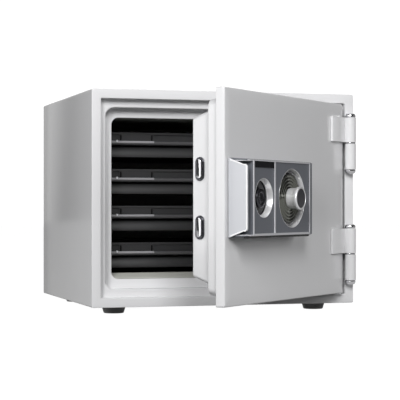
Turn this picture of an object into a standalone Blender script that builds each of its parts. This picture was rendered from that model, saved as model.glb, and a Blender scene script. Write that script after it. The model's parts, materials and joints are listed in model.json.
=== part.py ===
"""Fire-resistant document box: a small insulated safe with a stepped plug door and four trays.

The pieces are drawn in millimetres in one set of cabinet coordinates: x runs right, y back and z up
from the front left corner of the cabinet's underside, and the door is drawn where it lies when it is
shut. Each rigid group of pieces hangs from an empty on its own joint, and the door's empty is then
turned to stand the door open.
"""
import math

import bmesh
import bpy

MM = 0.001
SHEET = 1.5
GAP = 0.3

# Cabinet
WIDTH = 480.0
DEPTH = 445.0
HEIGHT = 374.0
MIDDLE_X = WIDTH / 2
MIDDLE_Z = HEIGHT / 2
CORNER = 2.5
RING = 16.3
LEDGE_1_Y = 16.0
STEP_X = 27.5
STEP_Z = 30.5
STEP_RADIUS = 17.0
LEDGE_2_Y = 38.2
CHAMBER_X = 43.6
CHAMBER_Z = 47.0
CHAMBER_RADIUS = 12.5
LIP_END_Y = 44.5
CHAMBER_END_Y = 389.0

# Feet
FOOT_HEIGHT = 13.5
FOOT_RADIUS = 21.5
FOOT_INSET_X = 53.0
FOOT_INSET_Y = 62.0

# Door
DOOR_GAP = 2.5
DOOR_THICKNESS = 15.2
DOOR_EDGE = RING + DOOR_GAP
HINGE_X = 470.0
HINGE_Y = -10.3
DOOR_ANGLE = math.radians(43.6)
PLUG_A_ROOT_X = 29.5
PLUG_A_END_X = 31.0
PLUG_A_ROOT_Z = 32.6
PLUG_A_END_Z = 36.1
PLUG_A_END_Y = 36.0
PLUG_A_RADIUS = 12.0
PLUG_B_ROOT_X = 50.0
PLUG_B_END_X = 55.0
PLUG_B_ROOT_Z = 47.8
PLUG_B_END_Z = 61.8
PLUG_B_END_Y = 76.0
PLUG_B_RADIUS = 6.0

# Hinges: the bottom of each hinge's lower knuckle, and how its lengths stack up from there
HINGE_BOTTOMS = {"upper": 239.0, "lower": 41.0}
BARREL_RADIUS = 10.0
HINGE_PIN_RADIUS = 5.0
BODY_KNUCKLE_LENGTH = 45.7
WASHER_THICKNESS = 2.4
DOOR_KNUCKLE_LENGTH = 44.0
DOME_HEIGHT = 7.0
DOOR_LEAF_WIDTH = 52.0
DOOR_LEAF_THICKNESS = 4.5

# Lock bolts, their bar and their keeper
BOLT_Y = 62.3
BOLT_HEIGHT = 30.5
BOLT_THICKNESS = 10.0
BOLT_CENTRES_Z = {"upper": 231.5, "lower": 140.0}
BOLT_TIP_X = 46.8
BOLT_TIP_SLOPE = 0.2
BOLT_ROOT_X = 74.7
BOLT_BAR_WIDTH = 12.0

# Lock unit on the door's face; its depths are measured forward from the face
LOCK_Z = 186.0
LOCK_LEFT = 32.5
LOCK_RIGHT = 262.0
LOCK_BASE_HEIGHT = 123.0
LOCK_FRONT_HEIGHT = 118.0
LOCK_FRONT_RIGHT = 260.0
FRAME_RIGHT = 250.0
HOUSING_DEPTH = 31.7
CHANNEL_RIGHT = 44.5
FASCIA_LEFT = 47.0
FASCIA_FRONT = 33.7
FRAME_FRONT = 35.2
DIVIDER_LEFT = 119.0
DIVIDER_RIGHT = 123.0
KEY_X = 85.0
KEY_DISH_RADIUS = 31.5
DIAL_X = 184.5
DIAL_DISH_RADIUS = 48.0
DISH_FLOOR = 25.0
KNOB_FRONT = 50.0

# Pull handle
HANDLE_PIVOT_X = 35.5
HANDLE_PIVOT_DEPTH = 7.2
HANDLE_THICKNESS = 3.0
HANDLE_LEFT = 28.0
HANDLE_FRONT = 34.5

# Trays
TRAY_PITCH = 65.2
TRAY_BOTTOM_Z = 64.9
TRAY_COUNT = 4
TRAY_WIDTH = 383.0
TRAY_FRONT_Y = 85.0
TRAY_BACK_Y = 380.0
TRAY_HEIGHT = 44.0
TRAY_WALL = 2.0
GRIP_FRONT_Y = 79.2

# The origin is on the floor, under the middle of the whole object as it stands with its door open.
# The point that reaches furthest forward is the front edge of the pull handle.
FRONT_Y = (
    HINGE_Y
    - math.sin(DOOR_ANGLE) * (HINGE_X - HANDLE_LEFT)
    - math.cos(DOOR_ANGLE) * (HANDLE_FRONT + HINGE_Y)
)
ORIGIN = (MIDDLE_X, (DEPTH + FRONT_Y) / 2, -FOOT_HEIGHT)


# Materials

def make_material(name, colour, roughness, metallic=0.0):
    material = bpy.data.materials.new(name)
    material.use_nodes = True
    shader = material.node_tree.nodes["Principled BSDF"]
    shader.inputs["Base Color"].default_value = (*colour, 1.0)
    shader.inputs["Roughness"].default_value = roughness
    shader.inputs["Metallic"].default_value = metallic
    material.diffuse_color = (*colour, 1.0)
    return material


def make_materials():
    return {
        "paint": make_material("light_grey_paint", (0.72, 0.72, 0.73), 0.45),
        "liner": make_material("liner_paint", (0.32, 0.31, 0.29), 0.6),
        "fill": make_material("insulating_concrete", (0.55, 0.53, 0.5), 0.95),
        "chrome": make_material("chrome", (0.8, 0.8, 0.82), 0.08, 1.0),
        "silver": make_material("silver_trim", (0.6, 0.6, 0.62), 0.3, 1.0),
        "steel": make_material("steel", (0.5, 0.5, 0.52), 0.4, 1.0),
        "brass": make_material("brass", (0.6, 0.47, 0.22), 0.35, 1.0),
        "lock_plastic": make_material("grey_lock_plastic", (0.12, 0.125, 0.14), 0.35),
        "dial_black": make_material("black_plastic", (0.02, 0.02, 0.022), 0.3),
        "tray": make_material("dark_tray_plastic", (0.035, 0.035, 0.037), 0.5),
        "grip": make_material("grey_grip_plastic", (0.3, 0.3, 0.31), 0.35),
        "seal": make_material("door_seal", (0.5, 0.5, 0.5), 0.8),
        "rubber": make_material("rubber", (0.05, 0.05, 0.05), 0.8),
    }


# Outlines

def arc(centre_a, centre_b, radius, start, end, steps):
    """Points on an arc from start to end, in degrees, both ends included."""
    points = []
    for i in range(steps + 1):
        angle = math.radians(start + (end - start) * i / steps)
        points.append((centre_a + radius * math.cos(angle), centre_b + radius * math.sin(angle)))
    return points


def circle(radius, steps):
    return arc(0.0, 0.0, radius, 0.0, 360.0 * (steps - 1) / steps, steps - 1)


def rounded_rectangle(width, height, radius, steps=4):
    """An outline centred on (0, 0), with the same number of points whatever its radius."""
    a = width / 2 - radius
    b = height / 2 - radius
    return (
        arc(a, b, radius, 0, 90, steps)
        + arc(-a, b, radius, 90, 180, steps)
        + arc(-a, -b, radius, 180, 270, steps)
        + arc(a, -b, radius, 270, 360, steps)
    )


# Groups and objects

class Group:
    """Pieces that move as one, hung from an empty at a point given in cabinet coordinates."""

    def __init__(self, name, pivot, parent=None):
        self.pivot = pivot
        self.empty = bpy.data.objects.new(name, None)
        bpy.context.scene.collection.objects.link(self.empty)
        if parent:
            self.empty.parent = parent.empty
            self.empty.location = [(p - q) * MM for p, q in zip(pivot, parent.pivot)]

    def place(self, item, at):
        """Hang an object here, with its own origin at a point in cabinet coordinates."""
        item.parent = self.empty
        item.location = [(p - q) * MM for p, q in zip(at, self.pivot)]


def skin(name, group, at, rings, material, closed=False, smooth=True):
    """A solid through rings of points, all in millimetres from its own origin.

    With closed, the last ring joins the first; otherwise both end rings are filled.
    """
    shape = bmesh.new()
    rows = [[shape.verts.new([c * MM for c in point]) for point in ring] for ring in rings]
    count = len(rings[0])
    pairs = list(zip(rows, rows[1:]))
    if closed:
        pairs.append((rows[-1], rows[0]))
    else:
        shape.faces.new(rows[0])
        shape.faces.new(rows[-1])
    for near, far in pairs:
        for i in range(count):
            j = (i + 1) % count
            shape.faces.new((near[i], near[j], far[j], far[i]))
    bmesh.ops.recalc_face_normals(shape, faces=shape.faces)
    mesh = bpy.data.meshes.new(name)
    shape.to_mesh(mesh)
    shape.free()
    mesh.materials.append(material)
    if smooth:
        mesh.shade_smooth()
        mesh.set_sharp_from_angle(angle=math.radians(30))
    item = bpy.data.objects.new(name, mesh)
    bpy.context.scene.collection.objects.link(item)
    group.place(item, at)
    return item


def nested(name, group, centre, sections, material, closed=False):
    """A solid through upright rounded rectangles: (width, height, radius, y) for each."""
    rings = [
        [(x, y, z) for x, z in rounded_rectangle(width, height, radius)]
        for width, height, radius, y in sections
    ]
    return skin(name, group, centre, rings, material, closed)


def turned(name, group, at, profile, material, axis="y", closed=False, steps=32):
    """A solid turned about y or z from (radius, distance along the axis) pairs."""
    rings = []
    for radius, along in profile:
        if axis == "y":
            rings.append([(a, along, b) for a, b in circle(radius, steps)])
        else:
            rings.append([(a, b, along) for a, b in circle(radius, steps)])
    return skin(name, group, at, rings, material, closed)


def prism(name, group, at, outline, axis, start, end, material):
    """An outline drawn in the plane across x, y or z, stretched along that axis."""
    def point(a, b, c):
        return {"x": (c, a, b), "y": (a, c, b), "z": (a, b, c)}[axis]

    rings = [[point(a, b, c) for a, b in outline] for c in (start, end)]
    return skin(name, group, at, rings, material)


def box(name, group, low, high, material, radius=0.0):
    """A box between two corners, its edges rounded when a radius is given."""
    size = [h - l for l, h in zip(low, high)]
    centre = [(l + h) / 2 for l, h in zip(low, high)]
    outline = [(sx * size[0] / 2, sy * size[1] / 2) for sx, sy in ((-1, -1), (1, -1), (1, 1), (-1, 1))]
    item = prism(name, group, centre, outline, "z", -size[2] / 2, size[2] / 2, material)
    if radius:
        bevel = item.modifiers.new("rounded_edges", "BEVEL")
        bevel.width = radius * MM
        bevel.segments = 2
    return item


def cut(item, cutter):
    """Take the cutter's shape out of an item; the cutter itself isn't part of the object."""
    cutter.hide_render = True
    cutter.display_type = "WIRE"
    boolean = item.modifiers.new("cut_" + cutter.name, "BOOLEAN")
    boolean.operation = "DIFFERENCE"
    boolean.solver = "EXACT"
    boolean.object = cutter


def cabinet_section(margin_x, margin_z, radius, y):
    """A rounded rectangle set in from the cabinet's outside by two margins."""
    return (WIDTH - 2 * margin_x, HEIGHT - 2 * margin_z, radius, y)


# Cabinet

def make_cabinet(cabinet, paint):
    section = cabinet_section
    front_centre = (MIDDLE_X, 0.0, MIDDLE_Z)
    shell_front = SHEET + GAP
    nested("outer_shell", cabinet, front_centre, [
        section(1.2, 1.2, CORNER, DEPTH),
        section(0, 0, CORNER, DEPTH - 1.2),
        section(0, 0, CORNER, shell_front),
        section(SHEET, SHEET, 1.0, shell_front),
        section(SHEET, SHEET, 1.0, DEPTH - SHEET),
    ], paint["paint"])
    nested("front_frame", cabinet, front_centre, [
        section(0, 0, CORNER, SHEET),
        section(0, 0, CORNER, 0.8),
        section(0.8, 0.8, CORNER, 0),
        section(RING - 0.8, RING - 0.8, 1.5, 0),
        section(RING, RING, 1.2, 0.8),
        section(RING, RING, 1.2, LEDGE_1_Y),
        section(STEP_X - 0.8, STEP_Z - 0.8, STEP_RADIUS, LEDGE_1_Y),
        section(STEP_X, STEP_Z, STEP_RADIUS, LEDGE_1_Y + 0.8),
        section(STEP_X, STEP_Z, STEP_RADIUS, LEDGE_2_Y),
        section(CHAMBER_X - 0.8, CHAMBER_Z - 0.8, CHAMBER_RADIUS, LEDGE_2_Y),
        section(CHAMBER_X, CHAMBER_Z, CHAMBER_RADIUS, LEDGE_2_Y + 0.8),
        section(CHAMBER_X, CHAMBER_Z, CHAMBER_RADIUS, LIP_END_Y),
        section(CHAMBER_X - SHEET, CHAMBER_Z - SHEET, CHAMBER_RADIUS + SHEET, LIP_END_Y),
        section(CHAMBER_X - SHEET, CHAMBER_Z - SHEET, CHAMBER_RADIUS + SHEET, LEDGE_2_Y + SHEET),
        section(STEP_X - SHEET, STEP_Z - SHEET, STEP_RADIUS + SHEET, LEDGE_2_Y + SHEET),
        section(STEP_X - SHEET, STEP_Z - SHEET, STEP_RADIUS + SHEET, LEDGE_1_Y + SHEET),
        section(RING - SHEET, RING - SHEET, 1.2 + SHEET, LEDGE_1_Y + SHEET),
        section(RING - SHEET, RING - SHEET, 1.2 + SHEET, SHEET),
    ], paint["paint"], closed=True)
    behind = SHEET + GAP
    fill = nested("insulation_fill", cabinet, front_centre, [
        section(behind, behind, 1.0, DEPTH - behind),
        section(behind, behind, 1.0, behind),
        section(RING - behind, RING - behind, 1.5, behind),
        section(RING - behind, RING - behind, 1.5, LEDGE_1_Y + behind),
        section(STEP_X - behind, STEP_Z - behind, STEP_RADIUS + behind, LEDGE_1_Y + behind),
        section(STEP_X - behind, STEP_Z - behind, STEP_RADIUS + behind, LEDGE_2_Y + behind),
        section(CHAMBER_X - behind, CHAMBER_Z - behind, CHAMBER_RADIUS + behind, LEDGE_2_Y + behind),
        section(CHAMBER_X - behind, CHAMBER_Z - behind, CHAMBER_RADIUS + behind, CHAMBER_END_Y + behind),
    ], paint["fill"])
    liner = nested("inner_liner", cabinet, front_centre, [
        section(CHAMBER_X - SHEET, CHAMBER_Z - SHEET, CHAMBER_RADIUS + SHEET, CHAMBER_END_Y + SHEET),
        section(CHAMBER_X - SHEET, CHAMBER_Z - SHEET, CHAMBER_RADIUS + SHEET, LIP_END_Y + GAP),
        section(CHAMBER_X, CHAMBER_Z, CHAMBER_RADIUS, LIP_END_Y + GAP),
        section(CHAMBER_X, CHAMBER_Z, CHAMBER_RADIUS, CHAMBER_END_Y),
    ], paint["liner"])
    make_keeper(cabinet, fill, liner, paint)


def make_keeper(cabinet, fill, liner, paint):
    """The steel block in the left wall that the two thrown bolts enter."""
    half_y = 10.0
    wall = 3.0
    low_z = BOLT_CENTRES_Z["lower"] - BOLT_HEIGHT / 2 - 3.0 - wall
    high_z = BOLT_CENTRES_Z["upper"] + BOLT_HEIGHT / 2 + 3.0 + wall
    left = 28.5
    right = CHAMBER_X - SHEET - GAP
    low = (left, BOLT_Y - half_y, low_z)
    high = (right, BOLT_Y + half_y, high_z)
    keeper = box("bolt_keeper", cabinet, low, high, paint["steel"])
    seat = box("keeper_seat", cabinet, [c - GAP for c in low],
               (right + 5.0, high[1] + GAP, high[2] + GAP), paint["fill"])
    cut(fill, seat)
    for side, z in BOLT_CENTRES_Z.items():
        half_z = BOLT_HEIGHT / 2 + 3.0
        pocket = box("bolt_pocket_" + side, cabinet, (left + 2.0, BOLT_Y - half_y + wall, z - half_z),
                     (CHAMBER_X + 5.0, BOLT_Y + half_y - wall, z + half_z), paint["steel"])
        cut(keeper, pocket)
        cut(liner, pocket)


def make_feet(cabinet, paint):
    places = {
        "front_left": (FOOT_INSET_X, FOOT_INSET_Y),
        "front_right": (WIDTH - FOOT_INSET_X, FOOT_INSET_Y),
        "back_left": (FOOT_INSET_X, DEPTH - FOOT_INSET_Y),
        "back_right": (WIDTH - FOOT_INSET_X, DEPTH - FOOT_INSET_Y),
    }
    profile = [
        (FOOT_RADIUS - 3.3, -FOOT_HEIGHT),
        (FOOT_RADIUS - 2.5, 1.0 - FOOT_HEIGHT),
        (FOOT_RADIUS, -GAP - 1.0),
        (FOOT_RADIUS, -GAP),
    ]
    for place, (x, y) in places.items():
        turned("foot_" + place, cabinet, (x, y, 0.0), profile, paint["rubber"], axis="z", steps=24)


def make_racks(cabinet, paint):
    """Two side plates, each with a ledge under every tray."""
    plate = 2.0
    ledge_depth = 9.0
    ledge_thickness = 3.0
    inner = CHAMBER_X + 0.4
    low_z = TRAY_BOTTOM_Z - GAP - ledge_thickness - 1.0
    high_z = 314.0
    outline = [(inner, low_z), (inner + plate, low_z)]
    for i in range(TRAY_COUNT):
        top = TRAY_BOTTOM_Z - GAP + i * TRAY_PITCH
        outline += [
            (inner + plate, top - ledge_thickness),
            (inner + ledge_depth, top - ledge_thickness),
            (inner + ledge_depth, top),
            (inner + plate, top),
        ]
    outline += [(inner + plate, high_z), (inner, high_z)]
    at = (0.0, 0.0, 0.0)
    front = TRAY_FRONT_Y + 4.0
    back = TRAY_BACK_Y - 2.0
    prism("tray_rack_left", cabinet, at, outline, "y", front, back, paint["steel"])
    mirrored = [(WIDTH - x, z) for x, z in outline]
    prism("tray_rack_right", cabinet, at, mirrored, "y", front, back, paint["steel"])


def make_tray(cabinet, number, paint):
    bottom = TRAY_BOTTOM_Z + (number - 1) * TRAY_PITCH
    group = Group(f"tray_{number}_slide", (MIDDLE_X, TRAY_FRONT_Y, bottom), cabinet)
    depth = TRAY_BACK_Y - TRAY_FRONT_Y
    centre = (MIDDLE_X, TRAY_FRONT_Y + depth / 2, bottom)

    def level(inset, radius, z):
        outline = rounded_rectangle(TRAY_WIDTH - 2 * inset, depth - 2 * inset, radius)
        return [(x, y, z) for x, y in outline]

    skin(f"tray_{number}", group, centre, [
        level(1.0, 4.0, 0.0),
        level(0.0, 5.0, 1.0),
        level(0.0, 5.0, TRAY_HEIGHT),
        level(TRAY_WALL, 3.0, TRAY_HEIGHT),
        level(TRAY_WALL, 3.0, TRAY_WALL),
    ], paint["tray"])
    back = TRAY_FRONT_Y - GAP
    lip = [
        (back, 21.0),
        (GRIP_FRONT_Y + 1.0, 22.0),
        (GRIP_FRONT_Y, 23.5),
        (GRIP_FRONT_Y, 27.0),
        (GRIP_FRONT_Y + 1.5, 28.5),
        (back, 28.5),
    ]
    prism(f"tray_{number}_grip", group, (MIDDLE_X, 0.0, bottom), lip, "x", -186.0, 186.0, paint["grip"])
    low = (68.0, back - 1.8, bottom + 28.8)
    high = (131.0, back, bottom + 42.5)
    holder = box(f"tray_{number}_label_holder", group, low, high, paint["grip"])
    window = box(f"tray_{number}_label_window", group, (70.0, low[1] - 5.0, low[2] + 2.5),
                 (129.0, low[1] + 1.0, high[2] - 1.5), paint["grip"])
    cut(holder, window)


# Door

def make_door(door, paint):
    section = cabinet_section
    centre = (MIDDLE_X, 0.0, MIDDLE_Z)
    skin_inside = DOOR_EDGE + SHEET
    front = nested("door_skin", door, centre, [
        section(DOOR_EDGE, DOOR_EDGE, 2.0, DOOR_THICKNESS),
        section(DOOR_EDGE, DOOR_EDGE, 2.0, 0.8),
        section(DOOR_EDGE + 0.8, DOOR_EDGE + 0.8, 2.0, 0.0),
    ][::-1] + [
        section(skin_inside, skin_inside, 1.0, DOOR_THICKNESS),
        section(skin_inside, skin_inside, 1.0, SHEET),
    ], paint["paint"])
    flange = skin_inside + GAP
    flange_y = DOOR_THICKNESS - SHEET
    inner_a_radius = PLUG_A_RADIUS - SHEET
    inner_b_radius = PLUG_B_RADIUS - SHEET
    plug = nested("plug_shell", door, centre, [
        section(flange, flange, 1.0, flange_y),
        section(flange, flange, 1.0, DOOR_THICKNESS),
        section(PLUG_A_ROOT_X, PLUG_A_ROOT_Z, PLUG_A_RADIUS, DOOR_THICKNESS),
        section(PLUG_A_END_X - 0.1, PLUG_A_END_Z - 0.2, PLUG_A_RADIUS, PLUG_A_END_Y - 1.0),
        section(PLUG_A_END_X + 1.0, PLUG_A_END_Z + 1.0, PLUG_A_RADIUS, PLUG_A_END_Y),
        section(PLUG_B_ROOT_X, PLUG_B_ROOT_Z, PLUG_B_RADIUS, PLUG_A_END_Y),
        section(PLUG_B_END_X, PLUG_B_END_Z, PLUG_B_RADIUS, PLUG_B_END_Y),
        section(PLUG_B_END_X + SHEET, PLUG_B_END_Z + SHEET, inner_b_radius, PLUG_B_END_Y),
        section(PLUG_B_ROOT_X + SHEET, PLUG_B_ROOT_Z + SHEET, inner_b_radius, PLUG_A_END_Y - SHEET),
        section(PLUG_A_END_X + SHEET, PLUG_A_END_Z + SHEET, inner_a_radius, PLUG_A_END_Y - SHEET),
        section(PLUG_A_ROOT_X + SHEET, PLUG_A_ROOT_Z + SHEET, inner_a_radius, flange_y),
    ], paint["paint"], closed=True)
    inset = SHEET + GAP
    fill_inset = inset + 0.4
    fill_radius = PLUG_A_RADIUS - 2.0
    fill = nested("door_fill", door, centre, [
        section(flange, flange, 1.0, inset),
        section(flange, flange, 1.0, flange_y - GAP),
        section(PLUG_A_ROOT_X + fill_inset, PLUG_A_ROOT_Z + fill_inset, fill_radius, flange_y - GAP),
        section(PLUG_A_END_X + fill_inset, PLUG_A_END_Z + fill_inset, fill_radius, PLUG_A_END_Y - inset),
    ], paint["fill"])
    cover_y = PLUG_B_END_Y - SHEET
    cover_inset = inset + 0.3
    nested("door_inner_cover", door, centre, [
        section(PLUG_B_END_X + cover_inset, PLUG_B_END_Z + cover_inset, 4.0, cover_y),
        section(PLUG_B_END_X + cover_inset, PLUG_B_END_Z + cover_inset, 4.0, PLUG_B_END_Y),
    ], paint["paint"])
    seal_y = PLUG_A_END_Y + GAP
    seal_end_y = seal_y + 1.3
    nested("door_seal", door, centre, [
        section(PLUG_A_END_X + 5.0, PLUG_A_END_Z + 2.5, 9.0, seal_y),
        section(PLUG_A_END_X + 5.0, PLUG_A_END_Z + 2.5, 9.0, seal_end_y),
        section(PLUG_B_ROOT_X - 6.0, PLUG_B_ROOT_Z - 3.0, 7.0, seal_end_y),
        section(PLUG_B_ROOT_X - 6.0, PLUG_B_ROOT_Z - 3.0, 7.0, seal_y),
    ], paint["seal"], closed=True)
    box("plug_fill", door, (218.0, PLUG_A_END_Y + 2.0, PLUG_B_END_Z + 6.0),
        (WIDTH - PLUG_B_END_X - 6.0, cover_y - 2.0, HEIGHT - PLUG_B_END_Z - 6.0), paint["fill"])
    for shaft, x in (("spindle", DIAL_X), ("key", KEY_X)):
        hole = turned(shaft + "_hole", door, (x, 0.0, LOCK_Z),
                      [(6.0, -5.0), (6.0, PLUG_A_END_Y + 5.0)], paint["fill"], steps=24)
        cut(front, hole)
        cut(fill, hole)
    return plug


def plug_side_x(y):
    """Where the free side of the plug's inner step stands at a depth y."""
    along = (y - PLUG_A_END_Y) / (PLUG_B_END_Y - PLUG_A_END_Y)
    return PLUG_B_ROOT_X + (PLUG_B_END_X - PLUG_B_ROOT_X) * along


def bolt_outline(margin):
    """The bolts' long round-ended section, in (y, z) about its centre."""
    radius = BOLT_THICKNESS / 2 + margin
    straight = BOLT_HEIGHT / 2 + margin - radius
    return arc(0, straight, radius, 0, 180, 10) + arc(0, -straight, radius, 180, 360, 10)


def make_bolts(door, plug, paint):
    bolts = Group("bolt_throw", (BOLT_ROOT_X, BOLT_Y, LOCK_Z), door)
    for side, z in BOLT_CENTRES_Z.items():
        at = (0.0, BOLT_Y, z)
        body = bolt_outline(0.0)
        tip = [(BOLT_TIP_X + BOLT_TIP_SLOPE * (y + BOLT_THICKNESS / 2), y, dz) for y, dz in body]
        root = [(BOLT_ROOT_X, y, dz) for y, dz in body]
        skin("lock_bolt_" + side, bolts, at, [tip, root], paint["chrome"])
        cut(plug, prism("bolt_hole_" + side, door, at, bolt_outline(0.4), "x", 35.0, 65.0, paint["steel"]))
        rings = []
        for margin, proud in ((0.4, GAP), (2.5, GAP), (2.5, 1.5), (1.9, 2.0), (0.4, 2.0)):
            outline = bolt_outline(margin)
            rings.append([(plug_side_x(BOLT_Y + y) - proud, y, dz) for y, dz in outline])
        skin("bolt_bezel_" + side, door, at, rings, paint["chrome"], closed=True)
    left = BOLT_ROOT_X + GAP
    box("bolt_bar", bolts, (left, BOLT_Y - BOLT_THICKNESS / 2, BOLT_CENTRES_Z["lower"] - 15.0),
        (left + BOLT_BAR_WIDTH, BOLT_Y + BOLT_THICKNESS / 2, BOLT_CENTRES_Z["upper"] + 15.0),
        paint["steel"], radius=0.8)


# Hinges

def make_hinge(cabinet, door, side, paint):
    bottom = HINGE_BOTTOMS[side]
    washer_z = bottom + BODY_KNUCKLE_LENGTH + GAP
    door_z = washer_z + WASHER_THICKNESS + GAP
    top = door_z + DOOR_KNUCKLE_LENGTH
    axis = (HINGE_X, HINGE_Y, 0.0)
    ring_y = -HINGE_Y - GAP
    bore_radius = HINGE_PIN_RADIUS + GAP

    def bore(name, group, low, high):
        return turned(name, group, axis, [(bore_radius, low), (bore_radius, high)],
                      paint["steel"], axis="z", steps=24)

    fixed_outline = arc(0, 0, BARREL_RADIUS, -180, 0, 16) + [
        (BARREL_RADIUS, ring_y),
        (-7.0, ring_y),
        (-8.0, ring_y - 1.0),
        (-BARREL_RADIUS, 2.0),
    ]
    fixed = prism(f"hinge_{side}_body_knuckle", cabinet, axis, fixed_outline, "z",
                  bottom, bottom + BODY_KNUCKLE_LENGTH, paint["paint"])
    cut(fixed, bore(f"hinge_{side}_body_bore", cabinet, bottom - 5.0, washer_z + 2.0))

    leaf_front = ring_y - DOOR_LEAF_THICKNESS
    start = math.degrees(math.asin(leaf_front / BARREL_RADIUS))
    leaf_left = -BARREL_RADIUS - DOOR_LEAF_WIDTH
    moving_outline = arc(0, 0, BARREL_RADIUS, -180 - start, 90, 24)[:-1] + [
        (0.0, BARREL_RADIUS),
        (-8.0, ring_y),
        (leaf_left, ring_y),
        (leaf_left, leaf_front + 1.2),
        (leaf_left + 1.2, leaf_front),
    ]
    moving = prism(f"hinge_{side}_door_leaf", door, axis, moving_outline, "z", door_z, top, paint["paint"])
    cut(moving, bore(f"hinge_{side}_door_bore", door, door_z - 5.0, top + 5.0))

    head = BARREL_RADIUS - 0.6
    straight = 4.0
    rounded = DOME_HEIGHT - straight
    dome = [(head, 0.0)]
    dome += [(head - 3.0 + 3.0 * math.cos(a), straight + rounded * math.sin(a))
             for a in (math.radians(d) for d in (0, 30, 60, 90))]
    pin_profile = [(r, bottom - GAP - h) for r, h in reversed(dome)]
    pin_profile += [(HINGE_PIN_RADIUS, bottom - GAP), (HINGE_PIN_RADIUS, top - 1.0)]
    turned(f"hinge_{side}_pin", cabinet, axis, pin_profile, paint["chrome"], axis="z", steps=24)
    turned(f"hinge_{side}_washer", cabinet, axis, [
        (head, washer_z),
        (head, washer_z + WASHER_THICKNESS),
        (bore_radius, washer_z + WASHER_THICKNESS),
        (bore_radius, washer_z),
    ], paint["chrome"], axis="z", closed=True, steps=24)
    turned(f"hinge_{side}_cap", door, axis, [(r, top + GAP + h) for r, h in dome],
           paint["chrome"], axis="z", steps=24)


# Lock unit

def face_loft(name, group, sections, material):
    """A block standing on the door's face: (left, right, height, radius, depth) for each section."""
    rings = []
    for left, right, height, radius, depth in sections:
        middle = (left + right) / 2
        outline = rounded_rectangle(right - left, height, radius)
        rings.append([(middle + x, -depth, z) for x, z in outline])
    return skin(name, group, (0.0, 0.0, LOCK_Z), rings, material)


def make_lock(door, paint):
    housing = face_loft("lock_housing", door, [
        (LOCK_LEFT, LOCK_RIGHT, LOCK_BASE_HEIGHT, 2.0, GAP),
        (LOCK_LEFT, LOCK_RIGHT - 0.7, LOCK_BASE_HEIGHT - 1.5, 2.0, 12.0),
        (LOCK_LEFT, LOCK_FRONT_RIGHT + 1.0, LOCK_FRONT_HEIGHT + 1.0, 2.0, HOUSING_DEPTH - 1.5),
        (LOCK_LEFT, LOCK_FRONT_RIGHT, LOCK_FRONT_HEIGHT, 2.0, HOUSING_DEPTH),
    ], paint["lock_plastic"])
    channel = face_loft("handle_channel", door, [
        (LOCK_LEFT - 10.0, CHANNEL_RIGHT, LOCK_BASE_HEIGHT - 6.0, 1.0, 3.0),
        (LOCK_LEFT - 10.0, CHANNEL_RIGHT, LOCK_FRONT_HEIGHT - 4.5, 1.0, HOUSING_DEPTH + 5.0),
    ], paint["lock_plastic"])
    cut(housing, channel)
    fascia = face_loft("lock_fascia", door, [
        (FASCIA_LEFT, LOCK_FRONT_RIGHT - 0.5, LOCK_FRONT_HEIGHT - 1.0, 1.0, HOUSING_DEPTH + GAP),
        (FASCIA_LEFT, LOCK_FRONT_RIGHT - 0.5, LOCK_FRONT_HEIGHT - 1.0, 1.0, FASCIA_FRONT - 0.6),
        (FASCIA_LEFT, LOCK_FRONT_RIGHT - 1.1, LOCK_FRONT_HEIGHT - 2.2, 1.0, FASCIA_FRONT),
    ], paint["lock_plastic"])
    frame = face_loft("lock_frame", door, [
        (FASCIA_LEFT, FRAME_RIGHT, LOCK_FRONT_HEIGHT - 1.0, 1.0, FASCIA_FRONT + GAP),
        (FASCIA_LEFT, FRAME_RIGHT, LOCK_FRONT_HEIGHT - 1.0, 1.0, FRAME_FRONT - 0.4),
        (FASCIA_LEFT + 0.4, FRAME_RIGHT - 0.4, LOCK_FRONT_HEIGHT - 1.8, 1.0, FRAME_FRONT),
    ], paint["silver"])
    windows = {"key": (FASCIA_LEFT + 4.0, DIVIDER_LEFT), "dial": (DIVIDER_RIGHT, FRAME_RIGHT - 2.0)}
    for which, (left, right) in windows.items():
        window = face_loft(which + "_window", door, [
            (left, right, LOCK_FRONT_HEIGHT - 6.0, 1.0, FASCIA_FRONT - 1.0),
            (left, right, LOCK_FRONT_HEIGHT - 6.0, 1.0, FRAME_FRONT + 5.0),
        ], paint["silver"])
        cut(frame, window)
    for which, x, radius in (("key", KEY_X, KEY_DISH_RADIUS), ("dial", DIAL_X, DIAL_DISH_RADIUS)):
        pocket = turned(which + "_pocket", door, (x, 0.0, LOCK_Z), [
            (radius - 2.0, -DISH_FLOOR + 5.0),
            (radius - 2.0, -FRAME_FRONT - 5.0),
        ], paint["lock_plastic"])
        cut(housing, pocket)
        cut(fascia, pocket)
        shaft_hole = turned(which + "_shaft_hole", door, (x, 0.0, LOCK_Z), [
            (6.0, 5.0),
            (6.0, -DISH_FLOOR - 5.0),
        ], paint["lock_plastic"], steps=24)
        cut(housing, shaft_hole)
        floor = DISH_FLOOR
        turned(which + "_bezel", door, (x, 0.0, LOCK_Z), [
            (radius, -FASCIA_FRONT - GAP),
            (radius, -FRAME_FRONT + 0.5),
            (radius - 1.0, -FRAME_FRONT),
            (radius - 2.0, -FRAME_FRONT + 0.3),
            (radius - 4.0, -floor),
            (radius - 9.0, -floor),
            (radius - 9.0, -floor + 1.5),
            (radius - 2.5, -floor + 1.5),
            (radius - 2.5, -FASCIA_FRONT - GAP),
        ], paint["chrome"], closed=True, steps=40)
    return housing


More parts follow.
